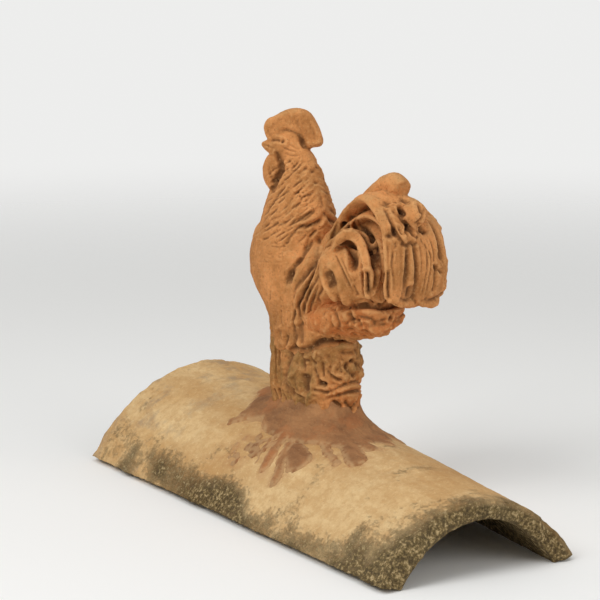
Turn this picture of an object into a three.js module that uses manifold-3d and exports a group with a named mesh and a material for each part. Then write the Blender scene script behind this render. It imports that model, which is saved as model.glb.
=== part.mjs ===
// A decorative ridge tile: a hand-modelled terracotta cockerel, bedded in red mortar on the crown of a
// tapered barrel ridge tile. Millimetres, +Z up. The ridge runs along X and the cockerel faces -X, with
// its head turned to its own left (-Y). The origin is on the ground, below the middle of the tile.
import * as THREE from "three";
import { mergeVertices } from "three/addons/utils/BufferGeometryUtils.js";
import Module from "manifold-3d";

const wasm = await Module();
wasm.setup();

const { lerp, degToRad, clamp } = THREE.MathUtils;
const JOINT_GAP = 0.3; // between pieces that touch

// ---- Driving dimensions -------------------------------------------------------------------------

const tile = {
  length: 450,
  wideWidth: 230, // across the feet at -X
  wideRise: 79,
  narrowWidth: 170, // across the feet at +X
  narrowRise: 58,
  wall: 15,
  archAngle: degToRad(50), // a small angle gives straight flanks and a tight crown
  footLift: 4, // the outer edge of each foot is worn off the ground by this much
  footBevel: 6,
};

const mound = { centreX: 4, halfLength: 46, halfWidth: 24, baseZ: 50, topZ: 134 }; // in the bird's frame

const collar = {
  lift: 0.7, // off the tile, so that its flat facets clear the curve
  rim: 2.2, // thickness at the smeared edge
  height: 20, // thickness against the mound
  fillet: 8, // distance in which that falls away
  // Plan outline, anticlockwise from the tail end, with the tongues drawn down the flanks.
  outline: [
    [66, 14], [52, 34], [26, 40], [8, 58], [-14, 62], [-30, 44], [-58, 48], [-82, 38], [-104, 24],
    [-124, 8], [-98, -18], [-80, -42], [-66, -48], [-44, -46], [-30, -58], [0, -68], [26, -70],
    [24, -46], [46, -30], [66, -34], [80, -20], [74, -2],
  ],
};

// The bird is drawn in its own frame, facing -X with the origin under its mound, and was set down
// slightly skew on the ridge.
const birdAt = { x: -24, turn: degToRad(9) };
const birdPlace = new THREE.Matrix4().makeRotationZ(birdAt.turn).setPosition(birdAt.x, 0, 0);

// ---- Solids -------------------------------------------------------------------------------------

function solidFrom(geometry) {
  const bare = geometry.clone();
  bare.deleteAttribute("normal");
  bare.deleteAttribute("uv");
  const merged = mergeVertices(bare, 1e-4);
  const made = new wasm.Manifold(
    new wasm.Mesh({
      numProp: 3,
      vertProperties: merged.attributes.position.array,
      triVerts: new Uint32Array(merged.index.array),
    }),
  );
  if (made.volume() <= 0) throw new Error("a solid is inside out");
  return made;
}

function geometryFrom(solid) {
  const mesh = solid.getMesh();
  const geometry = new THREE.BufferGeometry();
  geometry.setAttribute("position", new THREE.BufferAttribute(mesh.vertProperties, 3));
  geometry.setIndex(new THREE.BufferAttribute(mesh.triVerts, 1));
  geometry.computeVertexNormals();
  return geometry;
}

const joined = (solids) => solids.reduce((whole, next) => whole.add(next));

// Seeded, so that every build is the same.
function seededRandom(seed) {
  let state = seed;
  return (low = 0, high = 1) => {
    state = (state + 0x6d2b79f5) | 0;
    let mixed = Math.imul(state ^ (state >>> 15), 1 | state);
    mixed = (mixed + Math.imul(mixed ^ (mixed >>> 7), 61 | mixed)) ^ mixed;
    return lerp(low, high, ((mixed ^ (mixed >>> 14)) >>> 0) / 4294967296);
  };
}

// Elliptical rings along a path, closed by a point at each end. `across` is the direction of halfWidth.
function sweep({ pathAt, halfWidthAt, halfDepthAt, across, steps, sides }) {
  const positions = [];
  const triangles = [];
  const point = (p) => positions.push(p.x, p.y, p.z) / 3 - 1;
  const startPole = point(pathAt(0));
  for (let i = 0; i <= steps; i++) {
    const t = 0.5 - 0.5 * Math.cos((Math.PI * (i + 0.5)) / (steps + 1));
    const centre = pathAt(t);
    const tangent = pathAt(Math.min(t + 0.01, 1)).sub(pathAt(Math.max(t - 0.01, 0))).normalize();
    const wide = across(t).addScaledVector(tangent, -across(t).dot(tangent)).normalize();
    const deep = new THREE.Vector3().crossVectors(tangent, wide);
    for (let j = 0; j < sides; j++) {
      const turn = (2 * Math.PI * j) / sides;
      point(
        centre
          .clone()
          .addScaledVector(wide, Math.cos(turn) * halfWidthAt(t))
          .addScaledVector(deep, Math.sin(turn) * halfDepthAt(t)),
      );
    }
  }
  const endPole = point(pathAt(1));
  const ring = (i, j) => 1 + i * sides + (j % sides);
  for (let j = 0; j < sides; j++) {
    triangles.push(startPole, ring(0, j + 1), ring(0, j));
    triangles.push(endPole, ring(steps, j), ring(steps, j + 1));
    for (let i = 0; i < steps; i++) {
      triangles.push(ring(i, j), ring(i, j + 1), ring(i + 1, j + 1));
      triangles.push(ring(i, j), ring(i + 1, j + 1), ring(i + 1, j));
    }
  }
  const geometry = new THREE.BufferGeometry();
  geometry.setAttribute("position", new THREE.Float32BufferAttribute(positions, 3));
  geometry.setIndex(triangles);
  return solidFrom(geometry);
}

// A sweep through stations of [x, y, z, half depth, half width], rounded at both ends.
function bodyThrough(stations, { steps, sides, rounding = 0.12, across = new THREE.Vector3(0, 1, 0) }) {
  const path = curveThrough(stations.map(([x, y, z]) => new THREE.Vector3(x, y, z)));
  const girth = curveThrough(stations.map(([, , , depth, width]) => new THREE.Vector3(depth, width, 0)));
  const round = (t) => Math.sqrt(1 - clamp(1 - Math.min(t, 1 - t) / rounding, 0, 1) ** 2);
  return sweep({
    pathAt: (t) => path.getPoint(t),
    halfWidthAt: (t) => girth.getPoint(t).y * round(t),
    halfDepthAt: (t) => girth.getPoint(t).x * round(t),
    across: () => across.clone(),
    steps,
    sides,
  });
}

const curveThrough = (points) => new THREE.CatmullRomCurve3(points, false, "catmullrom", 0.5);

function ellipsoid(radii, centre, widthSegments = 14, heightSegments = 10) {
  const geometry = new THREE.SphereGeometry(1, widthSegments, heightSegments);
  geometry.scale(...radii).translate(...centre);
  return solidFrom(geometry);
}

// ---- Ridge tile ---------------------------------------------------------------------------------

const alongTile = (x) => (x + tile.length / 2) / tile.length;
const outerWidth = (x) => lerp(tile.wideWidth, tile.narrowWidth, alongTile(x));
const outerRise = (x) => lerp(tile.wideRise, tile.narrowRise, alongTile(x));

// Height of the tile's outer face over a point.
function tileTop(x, y) {
  const sine = Math.sin(tile.archAngle);
  const turn = Math.asin(clamp((2 * Math.abs(y) * sine) / outerWidth(x), 0, sine));
  const share = (Math.cos(turn) - Math.cos(tile.archAngle)) / (1 - Math.cos(tile.archAngle));
  return lerp(tile.footLift, outerRise(x), share);
}

// The region under an arch, extruded along X and drawn in towards the narrow end.
function archSolid({ width, rise, narrowWidth, narrowRise, lift, bevel, overrun, segments }) {
  const outline = [];
  for (let i = 0; i <= segments; i++) {
    const turn = lerp(tile.archAngle, -tile.archAngle, i / segments);
    const share = (Math.cos(turn) - Math.cos(tile.archAngle)) / (1 - Math.cos(tile.archAngle));
    outline.push(
      new THREE.Vector2(((width / 2) * Math.sin(turn)) / Math.sin(tile.archAngle), lerp(lift, rise, share)),
    );
  }
  outline.push(new THREE.Vector2(-width / 2 + bevel, 0), new THREE.Vector2(width / 2 - bevel, 0));
  const depth = tile.length + 2 * overrun;
  const geometry = new THREE.ExtrudeGeometry(new THREE.Shape(outline), { depth, bevelEnabled: false });
  // Shape x, y and depth become Y, Z and X.
  geometry.applyMatrix4(new THREE.Matrix4().set(0, 0, 1, -depth / 2, 1, 0, 0, 0, 0, 1, 0, 0, 0, 0, 0, 1));
  const position = geometry.attributes.position;
  for (let i = 0; i < position.count; i++) {
    const share = alongTile(position.getX(i));
    position.setY(i, position.getY(i) * lerp(1, narrowWidth / width, share));
    position.setZ(i, position.getZ(i) * lerp(1, narrowRise / rise, share));
  }
  return solidFrom(geometry);
}

function ridgeTile() {
  const slopeWall = tile.wall * 1.15; // the wall measured level, across a sloping flank
  const outside = archSolid({
    width: tile.wideWidth,
    rise: tile.wideRise,
    narrowWidth: tile.narrowWidth,
    narrowRise: tile.narrowRise,
    lift: tile.footLift,
    bevel: tile.footBevel,
    overrun: 0,
    segments: 24,
  });
  const hollow = archSolid({
    width: tile.wideWidth - 2 * slopeWall,
    rise: tile.wideRise - tile.wall,
    narrowWidth: tile.narrowWidth - 2 * slopeWall,
    narrowRise: tile.narrowRise - tile.wall,
    lift: 0,
    bevel: 0,
    overrun: 20,
    segments: 20,
  });
  const below = solidFrom(new THREE.BoxGeometry(600, 400, 20).translate(0, 0, -10));
  return brokenRim().reduce((whole, chip) => whole.subtract(chip), outside.subtract(hollow.add(below)));
}

// Lumps that are knocked out of the narrow rim, each placed by its angle round the arch.
function brokenRim() {
  const endX = tile.length / 2;
  return [
    { y: -34, size: [9, 17, 8] },
    { y: -58, size: [6, 12, 9] },
    { y: -16, size: [5, 10, 6] },
    { y: 30, size: [4, 14, 5] },
    { y: 63, size: [5, 9, 7] },
  ].map(({ y, size }) => ellipsoid(size, [endX + 1, y, tileTop(endX, y) + 2], 10, 6));
}

// ---- Mortar collar ------------------------------------------------------------------------------

// A block between two heights over the tile, with a closed outline in plan.
function blockOverTile({ centreX, reachAt, lowAt, highAt, rings, sides }) {
  const positions = [];
  const triangles = [];
  const addLevel = (heightAt) => {
    const first = positions.length / 3;
    positions.push(centreX, 0, heightAt(centreX, 0, 0));
    for (let i = 1; i <= rings; i++) {
      for (let j = 0; j < sides; j++) {
        const turn = (2 * Math.PI * j) / sides;
        const share = i / rings;
        const x = centreX + Math.cos(turn) * reachAt(turn) * share;
        const y = Math.sin(turn) * reachAt(turn) * share;
        positions.push(x, y, heightAt(x, y, share));
      }
    }
    return (i, j) => first + (i === 0 ? 0 : 1 + (i - 1) * sides + (j % sides));
  };
  const high = addLevel(highAt);
  const low = addLevel(lowAt);
  for (let j = 0; j < sides; j++) {
    triangles.push(high(0, 0), high(1, j), high(1, j + 1), low(0, 0), low(1, j + 1), low(1, j));
    for (let i = 1; i < rings; i++) {
      triangles.push(high(i, j), high(i + 1, j), high(i + 1, j + 1), high(i, j), high(i + 1, j + 1), high(i, j + 1));
      triangles.push(low(i, j), low(i + 1, j + 1), low(i + 1, j), low(i, j), low(i, j + 1), low(i + 1, j + 1));
    }
    triangles.push(high(rings, j), low(rings, j), low(rings, j + 1));
    triangles.push(high(rings, j), low(rings, j + 1), high(rings, j + 1));
  }
  const geometry = new THREE.BufferGeometry();
  geometry.setAttribute("position", new THREE.Float32BufferAttribute(positions, 3));
  geometry.setIndex(triangles);
  return solidFrom(geometry);
}

// Distance from the middle of the bed to its edge.
function collarReach(turn) {
  const corners = collar.outline
    .map(([x, y]) => ({ turn: Math.atan2(y, x - birdAt.x), reach: Math.hypot(x - birdAt.x, y) }))
    .sort((one, other) => one.turn - other.turn);
  const wrapped = Math.atan2(Math.sin(turn), Math.cos(turn));
  const nextAt = corners.findIndex((corner) => corner.turn > wrapped);
  const next = corners[nextAt < 0 ? 0 : nextAt];
  const last = corners[(nextAt > 0 ? nextAt : corners.length) - 1];
  const gap = (from, to) => (to - from + 2 * Math.PI) % (2 * Math.PI);
  return lerp(last.reach, next.reach, gap(last.turn, wrapped) / gap(last.turn, next.turn));
}

function mortarCollar() {
  const toBird = birdPlace.clone().invert();
  const fillet = (x, y) => {
    const spot = new THREE.Vector3(x, y, 0).applyMatrix4(toBird);
    const offset = new THREE.Vector2(spot.x - mound.centreX, spot.y);
    const outside = Math.hypot(offset.x / mound.halfLength, offset.y / mound.halfWidth);
    const distance = offset.length() * Math.max(1 - 1 / Math.max(outside, 1), 0);
    return collar.rim + (collar.height - collar.rim) * Math.exp(-distance / collar.fillet);
  };
  const ring = blockOverTile({
    centreX: birdAt.x,
    reachAt: collarReach,
    lowAt: (x, y) => tileTop(x, y) + collar.lift,
    highAt: (x, y) => tileTop(x, y) + collar.lift + fillet(x, y),
    rings: 6,
    sides: 32,
  });
  const bedded = joined([moundColumn(JOINT_GAP), ...legs(JOINT_GAP)]).transform(birdPlace.elements);
  return ring.subtract(bedded);
}

// ---- Cockerel -----------------------------------------------------------------------------------

// The clump of ground under the bird, one piece with it.
function moundColumn(grow = 0) {
  const { centreX, halfLength, halfWidth, baseZ, topZ } = mound;
  return bodyThrough(
    [
      [centreX, 0, baseZ, halfLength + grow, halfWidth + grow],
      [centreX, 0, lerp(baseZ, topZ, 0.45), halfLength + grow, halfWidth + grow],
      [centreX, 0, lerp(baseZ, topZ, 0.8), halfLength, halfWidth],
      [centreX + 1, 0, topZ, halfLength + 4, halfWidth + 2],
    ],
    { steps: 6, sides: 24, rounding: 0.04 },
  );
}

// Level sections up through the thighs, breast and neck.
function trunkAndNeck() {
  return bodyThrough(
    [
      [2, 0, 122, 42, 23],
      [1, 0, 134, 45, 26],
      [-3, 0, 147, 45, 29],
      [-7, 0, 162, 41, 31],
      [-13, 0, 178, 43, 34],
      [-22, 0, 198, 49, 36],
      [-24, 0, 212, 44, 34],
      [-22, 0, 226, 37, 30],
      [-21, 0, 242, 33, 27],
      [-21, 0, 259, 26, 23],
      [-22, 0, 274, 19, 17],
      [-26, -3, 288, 15, 13],
      [-29, -6, 298, 12, 11],
    ],
    { steps: 20, sides: 20, rounding: 0.06 },
  );
}

function rump() {
  return bodyThrough(
    [
      [-30, 0, 178, 30, 30],
      [4, 0, 184, 36, 32],
      [28, 0, 196, 28, 28],
      [48, 0, 210, 16, 19],
    ],
    { steps: 7, sides: 16 },
  );
}

// Head, in its own frame: +X forwards, +Y to the bird's left, the eyes at the origin's height.
const headPlace = new THREE.Matrix4().makeRotationZ(degToRad(225)).setPosition(-30, -8, 295);

function head() {
  const comb = new THREE.Shape();
  comb.moveTo(13, 3);
  comb.splineThru(
    [
      [16, 8],
      [17.5, 15],
      [15, 21],
      [7, 25],
      [-2, 29],
      [-12, 30],
      [-20, 27],
      [-26, 19],
      [-31, 8],
      [-31, 1],
      [-25, -1.5],
      [-18, -2],
      [-12, 3],
    ].map(([forward, up]) => new THREE.Vector2(forward, up)),
  );
  comb.lineTo(0, 3);
  const bevel = 3.5;
  const core = 6;
  const combSolid = solidFrom(
    new THREE.ExtrudeGeometry(comb, {
      depth: core,
      bevelThickness: bevel,
      bevelSize: bevel,
      bevelOffset: -bevel,
      bevelSegments: 2,
      curveSegments: 1,
    })
      .translate(0, 0, -core / 2)
      .rotateX(Math.PI / 2),
  );
  const beak = bodyThrough(
    [
      [8, 0, 0, 6.5, 6],
      [14, 0, 0, 4.5, 4],
      [22.5, 0, -1, 1.5, 1.5],
    ],
    { steps: 4, sides: 8 },
  );
  const parts = [ellipsoid([15, 12, 13], [0, 0, -1], 12, 8), combSolid, beak];
  for (const side of [-1, 1]) {
    parts.push(ellipsoid([2.6, 2, 2.6], [2, side * 11, 2], 6, 5));
    parts.push(
      bodyThrough(
        [
          [10, side * 3, -9, 4, 3.5],
          [12, side * 5, -19, 6.5, 4],
          [12, side * 5.5, -28, 6, 4],
          [9, side * 4, -38, 2.5, 2.5],
        ],
        { steps: 6, sides: 8 },
      ),
    );
  }
  return joined(parts).transform(headPlace.elements);
}

// A strap of clay laid on as a tail feather: it leaves the root, climbs to a crest and hangs from it.
function tailFeather({ root, yaw, reach, crest, drop, width, thickness = 8, roll = 0 }) {
  const out = new THREE.Vector3(Math.cos(degToRad(yaw)), Math.sin(degToRad(yaw)), 0);
  const level = new THREE.Vector3(-out.y, out.x, 0);
  const at = (share, height) =>
    new THREE.Vector3(...root).addScaledVector(out, reach * share).setZ(root[2] + height);
  const path = curveThrough([
    at(0, 0),
    at(0.32, crest * 0.66),
    at(0.66, crest),
    at(0.92, crest * 0.7),
    at(1.0, lerp(crest * 0.7, -drop, 0.5)),
    at(0.95, -drop),
  ]);
  const tilt = degToRad(roll);
  return sweep({
    pathAt: (t) => path.getPoint(t),
    halfWidthAt: (t) => (width / 2) * lerp(0.6, 1, Math.min(t / 0.4, 1)) * Math.sqrt(1 - clamp((t - 0.8) / 0.2, 0, 1) ** 2 * 0.95),
    halfDepthAt: (t) => (thickness / 2) * Math.sqrt(1 - clamp((t - 0.9) / 0.1, 0, 1) ** 2 * 0.95),
    across: () => level.clone().multiplyScalar(Math.cos(tilt)).add(new THREE.Vector3(0, 0, Math.sin(tilt))),
    steps: 10,
    sides: 7,
  });
}

// A short strap whose end curls no further than the crest.
function curlFeather({ root, yaw, reach, crest, fall, width, thickness }) {
  const out = new THREE.Vector3(Math.cos(degToRad(yaw)), Math.sin(degToRad(yaw)), 0);
  const level = new THREE.Vector3(-out.y, out.x, 0);
  const at = (share, height) =>
    new THREE.Vector3(...root).addScaledVector(out, reach * share).setZ(root[2] + height);
  const path = curveThrough([at(0, 0), at(0.4, crest * 0.66), at(0.8, crest), at(1, crest - fall)]);
  return sweep({
    pathAt: (t) => path.getPoint(t),
    halfWidthAt: (t) => (width / 2) * Math.sqrt(1 - clamp((t - 0.85) / 0.15, 0, 1) ** 2 * 0.95),
    halfDepthAt: (t) => (thickness / 2) * Math.sqrt(1 - clamp((t - 0.85) / 0.15, 0, 1) ** 2 * 0.95),
    across: () => level.clone(),
    steps: 7,
    sides: 7,
  });
}

const tailFeathers = [
  // The sickles, widest on the near side of the tail.
  { root: [18, -4, 206], yaw: -4, reach: 99, crest: 59, drop: 23, width: 27, thickness: 9 },
  { root: [18, 2, 206], yaw: 4, reach: 104, crest: 46, drop: 28, width: 18 },
  { root: [18, 6, 206], yaw: 13, reach: 101, crest: 42, drop: 27, width: 22 },
  { root: [14, 10, 200], yaw: 24, reach: 90, crest: 38, drop: 22, width: 18, roll: -15 },
  { root: [10, 12, 196], yaw: 38, reach: 68, crest: 34, drop: 16, width: 17, roll: -25 },
  { root: [14, -8, 200], yaw: -10, reach: 84, crest: 32, drop: 14, width: 14 },
  { root: [12, -10, 196], yaw: -22, reach: 72, crest: 26, drop: 16, width: 16, roll: 15 },
];

const curlFeathers = [
  { root: [34, 6, 214], yaw: -1, reach: 70, crest: 59, fall: 3, width: 18, thickness: 17 },
  { root: [24, 6, 212], yaw: 3, reach: 98, crest: 46, fall: 22, width: 24, thickness: 12 },
  { root: [50, -8, 236], yaw: -9, reach: 64, crest: 22, fall: 24, width: 11, thickness: 9 },
];

// Rolls of clay for the saddle and coverts, on the near side; the far side mirrors them.
const covertRolls = [
  { through: [[40, -12, 210], [62, -21, 233], [82, -23, 236], [93, -21, 208]], width: 10, thickness: 11 },
  { through: [[46, -16, 222], [60, -24, 232], [66, -26, 208]], width: 9, thickness: 13 },
  { through: [[30, -18, 216], [48, -28, 210], [62, -31, 196], [75, -29, 181]], width: 9, thickness: 11 },
  { through: [[20, -20, 212], [36, -31, 204], [46, -33, 190], [52, -30, 175]], width: 9, thickness: 12 },
  { through: [[6, -22, 208], [22, -34, 196], [28, -34, 182], [28, -31, 168]], width: 9, thickness: 13 },
  { through: [[52, -8, 196], [76, -18, 206], [81, -20, 184]], width: 12, thickness: 12 },
  { through: [[66, -6, 194], [92, -15, 205], [99, -16, 182]], width: 12, thickness: 12 },
];

function covertRoll({ through, width, thickness }) {
  const path = curveThrough(through.map((point) => new THREE.Vector3(...point)));
  const round = (t) => Math.sqrt(1 - clamp((t - 0.82) / 0.18, 0, 1) ** 2 * 0.95);
  return sweep({
    pathAt: (t) => path.getPoint(t),
    halfWidthAt: (t) => (width / 2) * round(t),
    halfDepthAt: (t) => (thickness / 2) * round(t),
    across: () => new THREE.Vector3(0, 1, 0),
    steps: 5,
    sides: 6,
  });
}

// The wall of clay up the middle of the tail, that the straps are laid against.
function tailWeb() {
  return bodyThrough(
    [
      [20, 0, 194, 26, 16],
      [48, 1, 204, 26, 11],
      [78, 3, 212, 29, 9],
      [106, 4, 212, 24, 8],
    ],
    { steps: 6, sides: 12 },
  );
}

// The rough fill under the tail.
function underTail() {
  return bodyThrough(
    [
      [10, 0, 156, 20, 24],
      [40, 0, 160, 17, 24],
      [68, 0, 165, 15, 22],
      [96, 0, 171, 9, 15],
    ],
    { steps: 6, sides: 12 },
  );
}

function legs(grow = 0) {
  return [-1, 1].flatMap((side) => [
    bodyThrough(
      [
        [-26, side * 12, 146, 14 + grow, 12 + grow],
        [-29, side * 14, 126, 8 + grow, 8 + grow],
        [-31, side * 15, 104, 6 + grow, 6 + grow],
        [-31, side * 15, 80 - grow, 6 + grow, 6 + grow],
      ],
      { steps: 6, sides: 8, rounding: 0.08 },
    ),
    ...[-32, 0, 34].map((spread) => toe(side, spread, grow)),
  ]);
}

function toe(side, spread, grow) {
  const turn = degToRad(200 + side * spread);
  const along = (length, z, thickness) => [
    -30 + Math.cos(turn) * length,
    side * 15 + Math.sin(turn) * length,
    z,
    thickness + grow,
    thickness + grow,
  ];
  return bodyThrough([along(0, 84, 4), along(7, 82, 4), along(14 + grow, 77, 3)], { steps: 2, sides: 6 });
}

// Tufts and stones pressed on to the mound.
function groundLumps() {
  const random = seededRandom(5);
  const lumps = [];
  const count = 14;
  for (let i = 0; i < count; i++) {
    const turn = (2 * Math.PI * i) / count + random(-0.2, 0.2);
    const centre = [
      mound.centreX + Math.cos(turn) * (mound.halfLength - 5),
      Math.sin(turn) * (mound.halfWidth - 3),
      random(100, 130),
    ];
    lumps.push(ellipsoid([random(6, 12), random(4, 6), random(6, 12)], centre, 6, 4));
  }
  return lumps;
}

function cockerel() {
  const bird = joined([
    trunkAndNeck(),
    rump(),
    head(),
    tailWeb(),
    underTail(),
    moundColumn(),
    ...legs(),
    ...groundLumps(),
    ...tailFeathers.map(tailFeather),
    ...curlFeathers.map(curlFeather),
    ...covertRolls.flatMap((roll) => [covertRoll(roll), covertRoll(roll).mirror([0, 1, 0])]),
  ]).transform(birdPlace.elements);
  const groundBelow = blockOverTile({
    centreX: birdAt.x,
    reachAt: () => 70,
    lowAt: () => -20,
    highAt: (x, y) => tileTop(x, y) + collar.lift,
    rings: 7,
    sides: 24,
  });
  const pocketsFilled = joined(bird.subtract(groundBelow).decompose().filter((body) => body.volume() > 0));
  return pocketsFilled;
}

// ---- Scene graph --------------------------------------------------------------------------------

function piece(name, solid, material) {
  const mesh = new THREE.Mesh(geometryFrom(solid), new THREE.MeshStandardMaterial(material));
  mesh.name = name;
  return mesh;
}

const part = new THREE.Group();
part.add(
  piece("ridge_tile", ridgeTile(), { color: 0xc9a878, roughness: 0.92, metalness: 0 }),
  piece("mortar_collar", mortarCollar(), { color: 0x9a6a4a, roughness: 0.95, metalness: 0 }),
  piece("cockerel", cockerel(), { color: 0xc08552, roughness: 0.88, metalness: 0 }),
);

export default part;
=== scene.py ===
import math

import bpy
import numpy as np
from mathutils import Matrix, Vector


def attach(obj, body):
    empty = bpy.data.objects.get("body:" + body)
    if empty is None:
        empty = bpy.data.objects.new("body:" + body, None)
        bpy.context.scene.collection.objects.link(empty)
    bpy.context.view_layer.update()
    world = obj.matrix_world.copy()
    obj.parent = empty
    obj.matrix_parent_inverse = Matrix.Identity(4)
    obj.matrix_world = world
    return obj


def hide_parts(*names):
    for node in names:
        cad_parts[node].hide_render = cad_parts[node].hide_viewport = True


# A terracotta cockerel bedded in red mortar on the crown of a tapered ridge tile.
# Shapes are worked out in millimetres, in the frame's axes, and turned into metres at the end.

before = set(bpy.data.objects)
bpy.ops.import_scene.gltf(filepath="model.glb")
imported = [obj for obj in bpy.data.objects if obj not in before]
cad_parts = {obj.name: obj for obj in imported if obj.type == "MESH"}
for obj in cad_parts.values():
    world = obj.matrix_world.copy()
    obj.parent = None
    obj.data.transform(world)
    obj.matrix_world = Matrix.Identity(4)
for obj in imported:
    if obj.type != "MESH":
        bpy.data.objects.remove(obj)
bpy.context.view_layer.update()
scene = bpy.context.scene
metre = 0.001


# Small tools for shapes

def lattice(ix, iy, iz, seed):
    h = (ix * 374761393 + iy * 668265263 + iz * 1274126177 + seed * 974634777) & 0xFFFFFFFF
    h = ((h ^ (h >> 13)) * 1103515245) & 0xFFFFFFFF
    h = ((h ^ (h >> 16)) * 747796405) & 0xFFFFFFFF
    return ((h ^ (h >> 15)) & 0xFFFF) / 32767.5 - 1


# smooth values from -1 to 1
def lumps(points, size, seed=0):
    q = points / size
    cell = np.floor(q).astype(np.int64)
    f = q - cell
    f = f * f * (3 - 2 * f)
    total = np.zeros(len(points))
    for corner in range(8):
        step = np.array([corner & 1, corner >> 1 & 1, corner >> 2])
        weight = np.prod(np.where(step, f, 1 - f), axis=1)
        near = cell + step
        total += weight * lattice(near[:, 0], near[:, 1], near[:, 2], seed)
    return total


def ease(value, low, high):
    t = np.clip((value - low) / (high - low), 0, 1)
    return t * t * (3 - 2 * t)


# a smooth run through the points
def through(points, steps):
    p = np.array(points, float)
    p = np.vstack([2 * p[0] - p[1], p, 2 * p[-1] - p[-2]])
    last = len(points) - 1
    t = np.linspace(0, last, steps) if np.isscalar(steps) else np.asarray(steps) * last
    i = np.minimum(t.astype(int), last - 1)
    f = (t - i)[:, None]
    a, b, c, d = p[i], p[i + 1], p[i + 2], p[i + 3]
    return 0.5 * (2 * b + (c - a) * f + (2 * a - 5 * b + 4 * c - d) * f**2 + (3 * b - a - 3 * c + d) * f**3)


# adds lumps of clay to a shift: height, size and seed of each
def layered(points, layers, shift=0.0):
    for height, size, seed in layers:
        shift = shift + height * lumps(points, size, seed)
    return shift


def unit(v):
    return v / np.maximum(np.linalg.norm(v, axis=-1, keepdims=True), 1e-9)


def meshFrom(name, points, faces):
    mesh = bpy.data.meshes.new(name)
    mesh.from_pydata([tuple(p) for p in points], [], faces)
    mesh.update()
    return mesh


def arrays(mesh):
    points = np.zeros(len(mesh.vertices) * 3)
    mesh.vertices.foreach_get("co", points)
    edges = np.zeros(len(mesh.edges) * 2, np.int32)
    mesh.edges.foreach_get("vertices", edges)
    return points.reshape(-1, 3), edges.reshape(-1, 2)


def putPoints(mesh, points):
    mesh.vertices.foreach_set("co", points.astype(np.float32).ravel())
    mesh.update()


def normalsOf(mesh):
    n = np.zeros(len(mesh.vertices) * 3)
    mesh.vertex_normals.foreach_get("vector", n)
    return n.reshape(-1, 3)


def relaxed(values, edges, rounds, strength=0.5):
    values = values.reshape(len(values), -1).astype(float)
    count = np.bincount(edges.ravel(), minlength=len(values))[:, None]
    for _ in range(rounds):
        total = np.stack(
            [
                np.bincount(edges[:, 0], values[edges[:, 1], k], len(values))
                + np.bincount(edges[:, 1], values[edges[:, 0], k], len(values))
                for k in range(values.shape[1])
            ],
            axis=1,
        )
        values = values + strength * (total / np.maximum(count, 1) - values)
    return values


def putValues(mesh, name, values):
    attribute = mesh.attributes.new(name, "FLOAT", "POINT")
    attribute.data.foreach_set("value", np.asarray(values, np.float32).ravel())


def finishedPiece(name, mesh, material, node):
    mesh.name = name
    mesh.materials.clear()
    mesh.materials.append(material)
    mesh.polygons.foreach_set("use_smooth", [True] * len(mesh.polygons))
    mesh.update()
    piece = bpy.data.objects.new(name, mesh)
    scene.collection.objects.link(piece)
    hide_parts(node)
    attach(piece, "root")
    print(name, len(mesh.polygons), "faces")
    return piece


# Node trees

def plug(tree, node, key, value):
    if isinstance(value, bpy.types.NodeSocket):
        tree.links.new(value, node.inputs[key])
    else:
        node.inputs[key].default_value = value


def add(tree, kind, inputs=None, **settings):
    node = tree.nodes.new(kind)
    for key, value in settings.items():
        setattr(node, key, value)
    for key, value in (inputs or {}).items():
        plug(tree, node, key, value)
    return node


def number(tree, operation, *values):
    return add(tree, "ShaderNodeMath", dict(enumerate(values)), operation=operation).outputs[0]


def times(tree, first, second):
    return number(tree, "MULTIPLY", first, second)


def plus(tree, first, second):
    return number(tree, "ADD", first, second)


def minus(tree, first, second):
    return number(tree, "SUBTRACT", first, second)


def ratio(tree, first, second):
    return number(tree, "DIVIDE", first, second)


def vector(tree, operation, *values, result="Vector"):
    node = add(tree, "ShaderNodeVectorMath", operation=operation)
    for key, value in enumerate(values):
        plug(tree, node, "Scale" if operation == "SCALE" and key == 1 else key, value)
    return node.outputs[result]


def spread(tree, value, low, high, toLow=0.0, toHigh=1.0):
    inputs = {"Value": value, "From Min": low, "From Max": high, "To Min": toLow, "To Max": toHigh}
    return add(tree, "ShaderNodeMapRange", inputs, interpolation_type="SMOOTHSTEP").outputs[0]


def mixed(tree, factor, under, over, how="MIX"):
    node = add(tree, "ShaderNodeMix", data_type="RGBA", blend_type=how)
    colours = [i for i, s in enumerate(node.inputs) if s.type == "RGBA"]
    plug(tree, node, 0, factor)
    plug(tree, node, colours[0], under)
    plug(tree, node, colours[1], over)
    return [s for s in node.outputs if s.type == "RGBA"][0]


def noise(tree, place, size, detail=4.0, roughness=0.6):
    scale = 1 / size if isinstance(size, float) else ratio(tree, 1.0, size)
    inputs = {"Vector": place, "Scale": scale, "Detail": detail, "Roughness": roughness}
    return add(tree, "ShaderNodeTexNoise", inputs).outputs["Fac"]


def place(tree):
    return add(tree, "ShaderNodeTexCoord").outputs["Object"]


def named(tree, name):
    return add(tree, "ShaderNodeAttribute", attribute_name=name).outputs["Fac"]


def newTree(kind, name, inputs, outputs):
    tree = bpy.data.node_groups.new(name, kind)
    for label, socketKind, value in inputs:
        socket = tree.interface.new_socket(name=label, in_out="INPUT", socket_type=socketKind)
        if value is not None:
            socket.default_value = value
    for label, socketKind in outputs:
        tree.interface.new_socket(name=label, in_out="OUTPUT", socket_type=socketKind)
    return tree, tree.nodes.new("NodeGroupInput").outputs, tree.nodes.new("NodeGroupOutput").inputs


def filled(tree, shared, inputs):
    node = add(tree, "ShaderNodeGroup", node_tree=shared)
    for key, value in inputs.items():
        plug(tree, node, key, value)
    return node.outputs


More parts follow.
